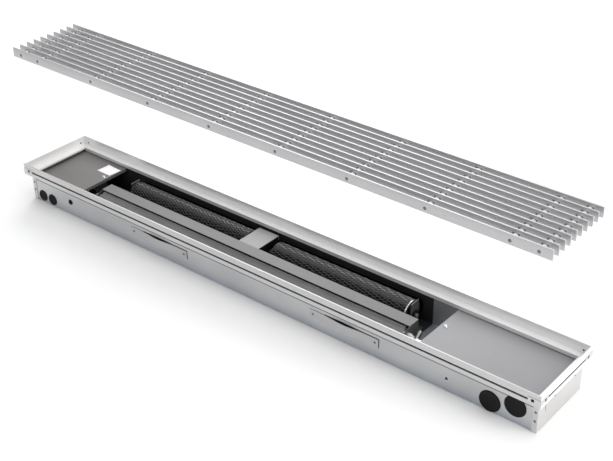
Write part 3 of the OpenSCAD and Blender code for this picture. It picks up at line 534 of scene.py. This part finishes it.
@dataclass(frozen=True)
class Palette:
    """Every finish of the heater."""

    # The tray's zinc: its foot is tinted as a painted reflection of the ground. Its marks darken the inside
    # (dark coating and painted shade), and the walls under the lip and behind the anchor plates (painted
    # shade).
    zinc: SheetMetal = SheetMetal("zinc_sheet_finish", (0.52, 0.525, 0.535), metallic=0.6, roughness=0.34,
                                  scratch=0.00001, painted_reflection_tint=(0.78, 0.84, 0.92), foot=0.022,
                                  marks=(*TRAY_INSIDE_COATING_AND_SHADE, *PAINTED_SHADOW_UNDER_LIP, *PAINTED_SHADE_BEHIND_PLATES))
    plate: SheetMetal = SheetMetal("anchor_plate_finish", (0.50, 0.50, 0.51), metallic=0.6, roughness=0.32,
                                   clouding=0.04, scratch=0.00001)
    end_zinc: SheetMetal = SheetMetal("end_cap_finish", (0.60, 0.59, 0.58), metallic=0.40, roughness=0.42,
                                      grain=Along.Y, clouding=0.03, scratch=0.00001, marks=PAINTED_SHADE_ON_CAP_TOPS)
    long_rim: SheetMetal = SheetMetal("long_rim_finish", (0.60, 0.60, 0.60), metallic=0.55, roughness=0.34,
                                      clouding=0.02, scratch=0.000001, marks=PAINTED_SHADE_IN_LONG_GROOVES, unevenness=0.05)
    corner: SheetMetal = SheetMetal("corner_block_finish", (0.62, 0.62, 0.62), metallic=0.50, roughness=0.36,
                                    clouding=0.02, scratch=0.000001, marks=SCREW_HEADS_AND_PAINTED_SHADE, unevenness=0.05)
    # Painted light: the back and end rims are lighter copies of the long rim's aluminium, because their inner
    # webs catch more light.
    back_rim_lit_copy: SheetMetal = SheetMetal("back_rim_finish", (0.86, 0.86, 0.86), metallic=0.35, roughness=0.36,
                                      clouding=0.02, scratch=0.0000003, marks=PAINTED_SHADE_IN_LONG_GROOVES, unevenness=0.03)
    end_rim_lit_copy: SheetMetal = SheetMetal("end_rim_finish", (0.90, 0.885, 0.88), metallic=0.25, roughness=0.38,
                                     grain=Along.Y, clouding=0.02, scratch=0.000001, marks=PAINTED_SHADE_IN_END_GROOVES,
                                     unevenness=0.05)
    bar: SheetMetal = SheetMetal("grille_bar_finish", (0.515, 0.515, 0.525), metallic=0.62, roughness=0.31,
                                 clouding=0.04, scratch=0.000003)
    pale_cover: SheetMetal = SheetMetal("pale_cover_finish", (0.285, 0.285, 0.295), metallic=0.45,
                                        roughness=0.50, clouding=0.03, scratch=0.000008)
    dark_cover: SheetMetal = SheetMetal("dark_cover_finish", (0.165, 0.155, 0.155), metallic=0.4,
                                        roughness=0.5, clouding=0.05)
    strip: SheetMetal = SheetMetal("strip_finish", (0.155, 0.155, 0.158), metallic=0.45, roughness=0.46,
                                   clouding=0.04, scratch=0.000008)
    hood: SheetMetal = SheetMetal("motor_hood_finish", (0.25, 0.25, 0.25), metallic=0.45, roughness=0.44,
                                  clouding=0.04, scratch=0.000008)
    stand: SheetMetal = SheetMetal("stand_finish", (0.12, 0.12, 0.122), metallic=0.6, roughness=0.40,
                                   grain=Along.NONE, clouding=0.06)
    dark_sheet: SheetMetal = SheetMetal("dark_sheet_finish", (0.11, 0.11, 0.11), metallic=0.6, roughness=0.42,
                                        grain=Along.NONE, clouding=0.1)
    fin: SheetMetal = SheetMetal("fin_finish", (0.50, 0.505, 0.51), metallic=0.35, roughness=0.40,
                                 grain=Along.NONE, clouding=0.06)
    steel: SheetMetal = SheetMetal("turned_steel_finish", (0.62, 0.62, 0.64), metallic=0.9, roughness=0.28,
                                   grain=Along.NONE, clouding=0.05)
    sleeve: SheetMetal = SheetMetal("grille_sleeve_finish", (0.88, 0.88, 0.88), metallic=0.35, roughness=0.30,
                                    grain=Along.NONE, clouding=0.03)
    rod: SheetMetal = SheetMetal("grille_rod_finish", (0.16, 0.16, 0.16), metallic=0.7, roughness=0.36,
                                 grain=Along.NONE, clouding=0.05)
    tube: SheetMetal = SheetMetal("tinned_tube_finish", (0.46, 0.45, 0.44), metallic=0.85, roughness=0.34,
                                  clouding=0.06)
    nickel: SheetMetal = SheetMetal("nickel_finish", (0.60, 0.60, 0.59), metallic=0.95, roughness=0.26,
                                    grain=Along.NONE, clouding=0.06)
    black_sheet: Moulded = Moulded("black_paint_finish", (0.003, 0.003, 0.003), roughness=0.7, gloss=0.15)
    ring: Moulded = Moulded("drum_ring_finish", (0.02, 0.02, 0.021), roughness=0.40)
    black_plastic: Moulded = Moulded("black_plastic_finish", (0.003, 0.003, 0.003), roughness=0.60, gloss=0.2)
    grey_plastic: Moulded = Moulded("grey_plastic_finish", (0.55, 0.55, 0.54), roughness=0.5)
    white_plastic: Moulded = Moulded("white_plastic_finish", (0.82, 0.82, 0.80), roughness=0.45)
    paper: Moulded = Moulded("label_paper_finish", (0.93, 0.93, 0.93), roughness=0.75, grain_scale=2500.0,
                             grain_depth=0.00001, clouding=0.02)


class Surface:
    """Gathers grids of points into one mesh."""

    def __init__(self) -> None:
        """Starts with no points and no faces."""
        self.points: list[np.ndarray] = []
        self.faces: list[list[int]] = []
        self.count = 0

    def grid(self, points: np.ndarray, wrap: bool = False, caps: bool = False) -> None:
        """Adds a grid of quads.

        Args:
            points: array (rows, columns, 3); neighbours in rows and columns are joined.
            wrap: True joins the last column to the first.
            caps: True closes the first and the last row with a face each.
        """
        rows, columns = points.shape[:2]
        index = np.arange(rows * columns).reshape(rows, columns) + self.count
        right = np.roll(index, -1, axis=1) if wrap else index[:, 1:]
        left = index if wrap else index[:, :-1]
        quads = np.stack([left[:-1], right[:-1], right[1:], left[1:]], axis=-1).reshape(-1, 4)
        self.faces.extend(quads.tolist())
        if caps:
            self.faces.append(index[0][::-1].tolist())
            self.faces.append(index[-1].tolist())
        self.points.append(points.reshape(-1, 3))
        self.count += rows * columns

    def piece(self, name: str, finish: Finish, sharp_above: float = 32.0) -> bpy.types.Object:
        """Makes the object at the origin, smooth below an edge angle, with its normals outwards.

        Args:
            name: the piece's name.
            finish: its finish.
            sharp_above: edges over this angle in degrees stay sharp.

        Returns:
            The new object, linked to the scene.
        """
        mesh = bpy.data.meshes.new(name)
        mesh.from_pydata(np.concatenate(self.points).tolist(), [], self.faces)
        mesh.validate()
        mesh.shade_smooth()
        mesh.set_sharp_from_angle(angle=math.radians(sharp_above))
        mesh.materials.append(made_of(finish))
        made = bpy.data.objects.new(name, mesh)
        bpy.context.scene.collection.objects.link(made)
        return made


def placed(made: bpy.types.Object, body: Body, slot: str, *nodes: str) -> bpy.types.Object:
    """Lets a new piece ride on a body and stand for CAD nodes, and logs it.

    Args:
        made: the new piece.
        body: the body that it moves with.
        slot: not used.
        nodes: the CAD nodes that it stands for.

    Returns:
        The same piece.
    """
    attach(made, body.value)
    if nodes:
        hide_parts(*nodes)
    LOG.info("piece %s on %s for %s", made.name, body.value, ", ".join(nodes) or "no node")
    return made


def eased_rectangle(width: float, height: float, ease: float, steps: int = 3) -> np.ndarray:
    """Outline of a rectangle round the origin whose corners are quarter circles.

    Each corner's points are its centre plus the ease times (cos, sin) of angles spread over 90 degrees.

    Args:
        width: full width.
        height: full height.
        ease: corner radius.
        steps: points on each corner.

    Returns:
        Array (4 * steps, 2), anticlockwise.
    """
    quarter = np.linspace(0.0, math.pi / 2, steps)
    starts = np.arange(4) * math.pi / 2
    angles = starts[:, None] + quarter[None, :]
    signs = np.array([[1, 1], [-1, 1], [-1, -1], [1, -1]], float)
    centres = signs * (np.array([width, height]) / 2 - ease)
    ring = centres[:, None, :] + ease * np.stack([np.cos(angles), np.sin(angles)], axis=-1)
    return ring.reshape(-1, 2)


def swept_x(outline: np.ndarray, stations: np.ndarray, shrink: np.ndarray | None = None) -> np.ndarray:
    """Carries a (y, z) outline along X.

    Row i is the outline at x = stations[i], scaled towards its middle by shrink[i].

    Args:
        outline: array (n, 2) of y and z.
        stations: array (m,) of x.
        shrink: array (m,) of factors, 1 where left out.

    Returns:
        Array (m, n, 3).
    """
    scale = np.ones_like(stations) if shrink is None else shrink
    middle = outline.mean(axis=0)
    ring = middle + (outline - middle)[None] * scale[:, None, None]
    x = np.broadcast_to(stations[:, None, None], (*ring.shape[:2], 1))
    return np.concatenate([x, ring], axis=-1)


def turned(profile: np.ndarray, sides: int) -> np.ndarray:
    """Revolves a profile round the Y axis.

    Point (r, y) of the profile at angle a becomes (r sin a, y, r cos a).

    Args:
        profile: array (n, 2) of radius and y.
        sides: points round the circle.

    Returns:
        Array (n, sides, 3).
    """
    angle = np.linspace(0.0, 2 * math.pi, sides, endpoint=False)
    radius, along = profile[:, 0:1], profile[:, 1:2]
    return np.stack([radius * np.sin(angle), along + 0 * angle, radius * np.cos(angle)], axis=-1)


@dataclass
class Grille:
    """Lift-off linear grille: flat bars with eased edges on riveted cross rods with spacer sleeves."""

    palette: Palette
    bar_count: int = 10
    bar_thickness: float = 3.0 * MM
    edge_ease: float = 0.45 * MM
    end_ease: float = 0.5 * MM
    rod_radius: float = 2.0 * MM
    rod_height: float = 8.0 * MM
    head_radius: float = 3.25 * MM
    head_height: float = 0.6 * MM
    head_tip: float = 0.05 * MM
    head_steps: int = 5
    sleeve_radius: float = 5.2 * MM
    sleeve_ease: float = 0.4 * MM
    end_pitch: float = 52.0 * MM
    inner_rods: int = 8
    end_shrink: float = 0.86
    shade_reach: float = 7.0 * MM
    shade_height: float = 5.5 * MM
    shade: float = 0.36

    def __post_init__(self) -> None:
        """Takes the grille's box and its rods' places from the frame."""
        low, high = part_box("grille_bars")
        self.low = np.array(low)
        self.high = np.array(high)
        rod_low, rod_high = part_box("grille_rods")
        end = (rod_high.x - rod_low.x) / 2 - self.head_radius
        inner = np.linspace(self.end_pitch - end, end - self.end_pitch, self.inner_rods)
        middle = (rod_low.x + rod_high.x) / 2
        self.rods = [middle + offset for offset in (-end, *inner.tolist(), end)]
        self.rod_z = self.low[2] + self.rod_height
        self.middle_y = (self.low[1] + self.high[1]) / 2

    def bar_middles(self) -> np.ndarray:
        """Gives the y of each bar's middle."""
        inset = self.bar_thickness / 2
        return np.linspace(self.low[1] + inset, self.high[1] - inset, self.bar_count)

    def bar_finish(self) -> SheetMetal:
        """Paints shade on the bars' inner faces round each rod, where the sleeves sit.

        Returns:
            The bars' metal with these marks.
        """
        inset = self.edge_ease
        marks = tuple(((x - self.shade_reach, self.low[1] + inset, self.rod_z - self.shade_height),
                       (x + self.shade_reach, self.high[1] - inset, self.rod_z + self.shade_height),
                       self.shade) for x in self.rods)
        return replace(self.palette.bar, marks=marks)

    def bars(self) -> bpy.types.Object:
        """Carries an eased rectangle along X for each bar, drawn in a little at both ends.

        Returns:
            The piece with every bar.
        """
        height = self.high[2] - self.low[2]
        outline = eased_rectangle(self.bar_thickness, height, self.edge_ease)
        ease = self.end_ease
        stations = np.array([self.low[0], self.low[0] + ease, self.high[0] - ease, self.high[0]])
        shrink = np.array([self.end_shrink, 1.0, 1.0, self.end_shrink])
        surface = Surface()
        for middle in self.bar_middles():
            points = swept_x(outline, stations, shrink)
            points += np.array([0.0, middle, self.low[2] + height / 2])
            surface.grid(points, wrap=True, caps=True)
        return surface.piece("grille_eased_bars", self.bar_finish())

    def cross_rods(self) -> bpy.types.Object:
        """Revolves each rod with a low domed head at both ends.

        The dome's radius and height are the head's, times the cosine and the sine of an angle that grows to
        90 degrees.

        Returns:
            The piece with every rod.
        """
        end_y = (self.high[1] - self.low[1]) / 2
        head = self.head_height
        arc = np.linspace(0.0, math.pi / 2, self.head_steps)
        dome = np.stack([self.head_radius * np.cos(arc), end_y + head * np.sin(arc)], axis=-1)
        shank = [[self.rod_radius, 0.0], [self.rod_radius, end_y], [self.head_radius, end_y]]
        half = np.vstack([shank, dome[1:]])
        half[-1, 0] = self.head_tip
        profile = np.vstack([half[::-1] * np.array([1.0, -1.0]), half[1:]])
        surface = Surface()
        for x in self.rods:
            place = np.array([x, self.middle_y, self.rod_z])
            surface.grid(turned(profile, sides=20) + place, wrap=True, caps=True)
        return surface.piece("grille_riveted_rods", self.palette.rod)

    def sleeves(self) -> bpy.types.Object:
        """Revolves a short sleeve with eased rims between each two bars on every rod.

        Returns:
            The piece with every sleeve.
        """
        middles = self.bar_middles()
        gap = middles[1] - middles[0] - self.bar_thickness
        rim, radius, half = self.sleeve_ease, self.sleeve_radius, gap / 2
        profile = np.array([[self.rod_radius, -half], [radius - rim, -half], [radius, rim - half],
                            [radius, half - rim], [radius - rim, half], [self.rod_radius, half],
                            [self.rod_radius, -half]])
        surface = Surface()
        for x in self.rods:
            for y in (middles[:-1] + middles[1:]) / 2:
                surface.grid(turned(profile, sides=16) + np.array([x, y, self.rod_z]), wrap=True)
        return surface.piece("grille_spacer_sleeves", self.palette.sleeve)

    def build(self) -> None:
        """Makes the three kinds of pieces and lets them ride on the grille's body."""
        placed(self.bars(), Body.GRILLE, "grille_alu", "grille_bars")
        placed(self.cross_rods(), Body.GRILLE, "bright_steel", "grille_rods")
        placed(self.sleeves(), Body.GRILLE, "bright_steel", "grille_spacers")


@dataclass
class HeatExchanger:
    """Tilted block of closely set rippled fins."""

    palette: Palette
    tilt: float = math.radians(18.0)
    width: float = 47.0 * MM
    thickness: float = 38.0 * MM
    pitch: float = 2.4 * MM
    sheet: float = 0.25 * MM
    ripple: float = 0.45 * MM
    ripples: float = 5.0
    ripple_steps: int = 21

    def fins(self) -> bpy.types.Object:
        """Sets rippled plates along X.

        A fin's face is x = x0 + ripple * sin(2 pi ripples w), w from 0 to 1 across the width, and its other
        face is the same a sheet's thickness further on.

        Returns:
            The piece with every fin.
        """
        low, high = (np.array(corner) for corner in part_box("coil_fins"))
        middle = (low + high) / 2
        across = np.linspace(-0.5, 0.5, self.ripple_steps)
        wave = self.ripple * np.sin(2 * math.pi * self.ripples * (across + 0.5))
        wide = across * self.width
        outline_w = np.concatenate([wide, wide[::-1]])
        outline_x = np.concatenate([wave + self.sheet / 2, wave[::-1] - self.sheet / 2])
        cosine, sine = math.cos(self.tilt), math.sin(self.tilt)
        sides = []
        for deep in (-self.thickness / 2, self.thickness / 2):
            y = middle[1] + outline_w * cosine - deep * sine
            z = middle[2] + outline_w * sine + deep * cosine
            sides.append(np.stack([outline_x, y, z], axis=-1))
        fin = np.stack(sides)
        inset = self.ripple + self.sheet
        count = int((high[0] - low[0] - 2 * inset) / self.pitch) + 1
        surface = Surface()
        for x in np.linspace(low[0] + inset, high[0] - inset, count):
            surface.grid(fin + np.array([x, 0.0, 0.0]), wrap=True, caps=True)
        return surface.piece("coil_rippled_fins", self.palette.fin)

    def build(self) -> None:
        """Makes the fins in place of the plain plates."""
        placed(self.fins(), Body.TROUGH, "fin_sheet", "coil_fins")


@dataclass
class FanDrum:
    """One cross-flow impeller: short sections of skewed blades between thin rings, with spoked ends."""

    palette: Palette
    node: str
    lean: float
    light_end: bool = False
    blades: int = 28
    section_length: float = 8.6 * MM
    blade_depth: float = 6.5 * MM
    blade_inset: float = 0.2 * MM
    blade_sheet: float = 1.3 * MM
    ring_sheet: float = 1.0 * MM
    end_sheet: float = 2.4 * MM
    sweep: float = math.radians(34.0)
    sweep_power: float = 1.5
    sweep_steps: int = 4
    ring_ease: float = 0.25 * MM
    band_margin: float = 0.6 * MM
    band_recess: float = 1.2 * MM
    hub_radius: float = 8.0 * MM
    hub_length: float = 12.0 * MM
    hub_bore: float = 4.05 * MM
    spoke_width: float = 3.0 * MM
    spoke_root: float = 0.5 * MM
    spoke_count: int = 6

    def __post_init__(self) -> None:
        """Takes the drum's axis, ends and radius from its node, and its sections from its length."""
        low, high = (np.array(corner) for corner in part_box(self.node))
        self.ends = (low[0], high[0])
        self.axis = (low[1:] + high[1:]) / 2
        self.radius = (high[1] - low[1]) / 2
        self.blade_rim = self.radius - self.blade_inset
        self.sections = round((high[0] - low[0]) / self.section_length)

    def edges(self) -> np.ndarray:
        """Gives the x of the rings' middles."""
        half = self.end_sheet / 2
        return np.linspace(self.ends[0] + half, self.ends[1] - half, self.sections + 1)

    def around(self, along: np.ndarray, radius: np.ndarray, angle: np.ndarray) -> np.ndarray:
        """Puts points round the drum's axis, at (x, axis y + r cos a, axis z + r sin a).

        Args:
            along: the x of each row, shape (rows, 1).
            radius: radii that spread over the rows and columns.
            angle: angles that spread over them too.

        Returns:
            Array (rows, columns, 3).
        """
        y = self.axis[0] + radius * np.cos(angle)
        z = self.axis[1] + radius * np.sin(angle)
        return np.stack([np.broadcast_to(along, y.shape), y, z], axis=-1)

    def blade(self, start: float, end: float, turn_start: float, turn_end: float) -> np.ndarray:
        """Gives one blade between two rings.

        Across the blade ring the radius falls from the rim inwards and the angle grows by the sweep times the
        share to a power; along X the whole section turns evenly, which skews the blade.

        Args:
            start: first x.
            end: last x.
            turn_start: the blade's angle at the first x.
            turn_end: its angle at the last x.

        Returns:
            Array (2, outline points, 3).
        """
        share = np.linspace(1.0, 0.0, self.sweep_steps)
        radius = self.blade_rim - self.blade_depth * share
        angle = self.sweep * share ** self.sweep_power
        half = self.blade_sheet / 2 / radius
        loop_r = np.concatenate([radius, radius[::-1]])
        loop_a = np.concatenate([angle - half, (angle + half)[::-1]])
        total = loop_a[None, :] + np.array([turn_start, turn_end])[:, None]
        return self.around(np.array([start, end])[:, None], loop_r, total)

    def hoop(self, low: float, high: float, inner: float, outer: float, sides: int) -> np.ndarray:
        """Revolves a closed rectangle with eased outer corners round the drum's axis.

        Args:
            low: first x.
            high: last x.
            inner: inside radius.
            outer: outside radius.
            sides: points round the circle.

        Returns:
            Array (7, sides, 3), whose last row is the first one again.
        """
        ease = self.ring_ease
        profile = np.array([[low, inner], [low, outer - ease], [low + ease, outer], [high - ease, outer],
                            [high, outer - ease], [high, inner], [low, inner]])
        angle = np.linspace(0.0, 2 * math.pi, sides, endpoint=False)
        return self.around(profile[:, 0:1], profile[:, 1:2], angle)

    def blades_piece(self) -> bpy.types.Object:
        """Makes every blade; each section leans round a little and starts half a blade off its neighbour.

        Returns:
            The piece with every blade.
        """
        surface = Surface()
        edges = self.edges()
        step = 2 * math.pi / self.blades
        for section, (start, end) in enumerate(zip(edges[:-1], edges[1:])):
            first = (section % 2) * step / 2 + section * self.lean
            for number in range(self.blades):
                turn = first + number * step
                surface.grid(self.blade(start, end, turn, turn + self.lean), wrap=True, caps=True)
        finish = DrumMetal(self.node + "_blade_finish", (float(self.axis[0]), float(self.axis[1])),
                           self.radius - self.blade_depth, self.blade_rim)
        return surface.piece(self.node + "_blades", finish)

    def rings_piece(self) -> bpy.types.Object:
        """Makes the rings between the sections, the hubs and the spokes of both ends.

        Returns:
            The piece with all of them.
        """
        surface = Surface()
        half = self.ring_sheet / 2
        band = self.radius - self.blade_depth - self.band_margin
        for x in self.edges()[1:-1]:
            ring = self.hoop(x - half, x + half, band, self.radius - self.band_recess, sides=48)
            surface.grid(ring, wrap=True)
        self.end_ring(surface, self.ends[0])
        if not self.light_end:
            self.end_ring(surface, self.ends[1] - self.end_sheet)
        for low in (self.ends[0], self.ends[1] - self.hub_length):
            hub = self.hoop(low, low + self.hub_length, self.hub_bore, self.hub_radius, sides=32)
            surface.grid(hub, wrap=True)
        self.spokes(surface, self.ends[0] + self.end_sheet / 2)
        self.spokes(surface, self.ends[1] - self.end_sheet / 2)
        return surface.piece(self.node + "_rings", self.palette.ring)

    def end_ring(self, surface: Surface, low: float) -> None:
        """Adds the thicker ring that closes a drum's end, from the given x on."""
        band = self.radius - self.blade_depth - self.band_margin
        surface.grid(self.hoop(low, low + self.end_sheet, band, self.radius, sides=72), wrap=True)

    def spokes(self, surface: Surface, x: float) -> None:
        """Adds radial spokes, each an eased rectangle carried outwards from the hub.

        Args:
            surface: the surface that takes them.
            x: the plane in which they lie.
        """
        outline = eased_rectangle(self.spoke_width, self.ring_sheet, self.ring_ease)
        reach = np.array([self.hub_radius - self.spoke_root, self.radius - self.blade_depth])
        for turn in np.arange(self.spoke_count) * 2 * math.pi / self.spoke_count:
            outward = np.array([0.0, math.cos(turn), math.sin(turn)])
            sideways = np.array([0.0, -math.sin(turn), math.cos(turn)])
            centre = np.array([x, *self.axis])
            ring = outline[None, :, 0:1] * sideways + outline[None, :, 1:2] * np.array([1.0, 0.0, 0.0])
            surface.grid(centre + ring + reach[:, None, None] * outward, wrap=True, caps=True)

    def build(self) -> None:
        """Makes the drum's blades and rings, and the bare metal ring at an end that has one."""
        placed(self.blades_piece(), Body.ROTOR, "black_sheet", self.node)
        placed(self.rings_piece(), Body.ROTOR, "black_sheet")
        if self.light_end:
            surface = Surface()
            self.end_ring(surface, self.ends[1] - self.end_sheet)
            placed(surface.piece(self.node + "_end_ring", self.palette.nickel), Body.ROTOR, "bright_steel")


@dataclass
class Trough:
    """The CAD nodes that keep their meshes, with the finish of each, and the label on the left cover."""

    palette: Palette
    label_corners: tuple[tuple[float, float], ...] = ((-542.0, 26.0), (-501.5, 25.7), (-498.5, 58.0),
                                                    (-538.5, 59.1))
    label_curl: float = 1.2 * MM
    label_rise: float = 0.15 * MM
    label_sheet: float = 0.12 * MM
    label_steps: int = 9

    def finishes(self) -> dict[str, Finish]:
        """Says which finish each kept CAD node gets.

        Returns:
            The finishes by the nodes' names.
        """
        look = self.palette
        groups: list[tuple[Finish, str]] = [
            (look.zinc, "trough_tray cover_brackets cover_rests motor_cradle"),
            (look.plate, "anchor_plates"),
            (look.end_zinc, "end_cap_left end_cap_right"),
            (look.long_rim, "rim_front"),
            (look.corner, "rim_corner_blocks"),
            (look.back_rim_lit_copy, "rim_back"),
            (look.end_rim_lit_copy, "rim_left rim_right"),
            (look.pale_cover, "cover_plate_right"),
            (look.dark_cover, "cover_plate_left"),
            (look.strip, "air_guide_strip"),
            (look.hood, "motor_cover"),
            (look.stand, "bearing_stands"),
            (look.dark_sheet, "coil_end_plate_left coil_end_plate_right"),
            (look.steel, "cover_screws box_lid_screws air_vent_screw fan_shaft fan_motor"),
            (look.rod, "end_cap_rivets anchor_rivets"),
            (look.tube, "coil_tubes"),
            (look.nickel, "coil_return_bends pipe_connections air_vent_body"),
            (look.black_sheet, "fan_casing_left fan_casing_right fan_side_plates"),
            (look.black_plastic, "pipe_entry_plugs cable_entry_plugs cable_grommet cable_glands "
                                 "rim_corner_screws shaft_bearings wiring_loom"),
            (look.grey_plastic, "junction_box junction_box_lid"),
            (look.white_plastic, "terminal_block"),
        ]
        return {node: finish for finish, names in groups for node in names.split()}

    def dress(self, nodes: dict[str, bpy.types.Object]) -> None:
        """Gives each kept node its material.

        Args:
            nodes: the CAD nodes by name.
        """
        for node, finish in self.finishes().items():
            mesh = nodes[node].data
            mesh.materials.clear()
            mesh.materials.append(made_of(finish))
            LOG.info("node %s has finish %s", node, finish.name)

    def label(self) -> bpy.types.Object:
        """Lays a blank paper label on the left cover: a bilinear patch whose far corner curls up a little.

        A point (u, v) of the unit square takes its share of each corner by bilinear mixing, and rises by the
        curl times (1 - u)^4 v^4.

        Returns:
            The label, which a modifier gives its thickness.
        """
        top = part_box("cover_plate_left")[1].z + self.label_rise
        corners = np.array(self.label_corners) * MM
        side = np.linspace(0, 1, self.label_steps)
        u, v = np.meshgrid(side, side)
        u, v = u[..., None], v[..., None]
        shares = ((1 - u) * (1 - v), u * (1 - v), u * v, (1 - u) * v)
        flat = sum(share * corner for share, corner in zip(shares, corners))
        rise = top + self.label_curl * (1 - u) ** 4 * v ** 4
        surface = Surface()
        surface.grid(np.concatenate([flat, rise], axis=-1))
        sheet = surface.piece("cover_blank_label", self.palette.paper)
        thick = sheet.modifiers.new("paper", "SOLIDIFY")
        thick.thickness = self.label_sheet
        thick.offset = 1.0
        return sheet

    def build(self, nodes: dict[str, bpy.types.Object]) -> None:
        """Dresses the nodes and adds the label."""
        self.dress(nodes)
        placed(self.label(), Body.TROUGH, "white_plastic")


def facing(right: np.ndarray, up: np.ndarray, back: np.ndarray, place: Point) -> Matrix:
    """Gives the matrix of a camera or lamp, whose columns are its own axes and its place.

    Args:
        right: its own X axis.
        up: its own Y axis.
        back: its own Z axis, opposite to where it looks.
        place: where it stands, in metres.

    Returns:
        The matrix, 4 by 4.
    """
    pose = np.eye(4)
    pose[:3] = np.stack([right, up, back, np.array(place)], axis=1)
    return Matrix(pose.tolist())


@dataclass
class Studio:
    """Pale floor, soft lights and the camera at the photograph's viewing angle."""

    azimuth: float = 39.20387
    elevation: float = 31.38285
    roll: float = -0.3763
    focal_px: float = 1213.176
    eye: Point = (1.331390, -1.530330, 1.356472)
    photo_width: int = 613
    sensor: float = 36.0
    view_end: float = 50.0
    lamps: tuple[tuple[str, Point, float, float], ...] = (("right_softbox", (3.0, 0.2, 1.6), 2.2, 50.0),
                                                          ("back_softbox", (-1.9, 2.6, 2.0), 2.2, 45.0),
                                                          ("top_softbox", (0.3, 0.3, 3.4), 2.5, 42.0))
    world_light: float = 0.66
    floor_half: float = 9.0
    floor_drop: float = 0.3 * MM
    floor_paint: Moulded = Moulded("floor_paint", (0.94, 0.94, 0.94), roughness=0.9, grain_scale=300.0,
                                  grain_depth=0.00001, clouding=0.01, gloss=0.1)

    def camera(self) -> None:
        """Sets the camera: two angles give its backward axis, and the roll turns it in its own plane."""
        turn, lift, tilt = (math.radians(angle) for angle in (self.azimuth, self.elevation, self.roll))
        back = np.array([math.sin(turn) * math.cos(lift), -math.cos(turn) * math.cos(lift), math.sin(lift)])
        right = np.cross([0.0, 0.0, 1.0], back)
        right /= np.linalg.norm(right)
        up = np.cross(back, right)
        right, up = math.cos(tilt) * right + math.sin(tilt) * up, math.cos(tilt) * up - math.sin(tilt) * right
        data = bpy.data.cameras.new("photo_camera")
        data.sensor_width = self.sensor
        data.lens = self.focal_px / self.photo_width * self.sensor
        data.clip_end = self.view_end
        camera = bpy.data.objects.new("photo_camera", data)
        camera.matrix_world = facing(right, up, back, self.eye)
        bpy.context.scene.collection.objects.link(camera)
        bpy.context.scene.camera = camera

    def lamp(self, name: str, place: Point, size: float, power: float) -> None:
        """Adds a square soft light that faces the heater's middle.

        Args:
            name: the light's name.
            place: where it stands, in metres.
            size: the side of the square.
            power: watts.
        """
        data = bpy.data.lights.new(name, "AREA")
        data.shape = "SQUARE"
        data.size = size
        data.energy = power
        lamp = bpy.data.objects.new(name, data)
        back = np.array(place) / np.linalg.norm(place)
        right = np.cross([0.0, 0.0, 1.0], back)
        right /= np.linalg.norm(right)
        lamp.matrix_world = facing(right, np.cross(back, right), back, place)
        bpy.context.scene.collection.objects.link(lamp)

    def surroundings(self) -> None:
        """Sets an even white world and plain colour handling."""
        world = bpy.data.worlds.new("studio_world")
        world.use_nodes = True
        ground = world.node_tree.nodes["Background"]
        ground.inputs["Color"].default_value = (*WHITE, 1.0)
        ground.inputs["Strength"].default_value = self.world_light
        bpy.context.scene.world = world
        bpy.context.scene.view_settings.view_transform = "Standard"

    def floor(self) -> None:
        """Lays a wide pale floor under the trough."""
        half = self.floor_half
        side = np.linspace(-half, half, 3)
        x, y = np.meshgrid(side, side)
        surface = Surface()
        surface.grid(np.stack([x, y, np.full_like(x, -self.floor_drop)], axis=-1))
        surface.piece("studio_floor", self.floor_paint)

    def build(self) -> None:
        """Makes the surroundings, lights, floor and camera."""
        self.surroundings()
        for lamp in self.lamps:
            self.lamp(*lamp)
        self.floor()
        self.camera()


def main() -> None:
    logging.basicConfig(level=logging.INFO, format="%(message)s")
    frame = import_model()
    palette = Palette()
    Studio().build()
    Trough(palette).build(frame["nodes"])
    HeatExchanger(palette).build()
    FanDrum(palette, "impeller_left", math.radians(2.0)).build()
    FanDrum(palette, "impeller_right", math.radians(-2.0), light_end=True).build()
    Grille(palette).build()


if __name__ == "__main__":
    main()
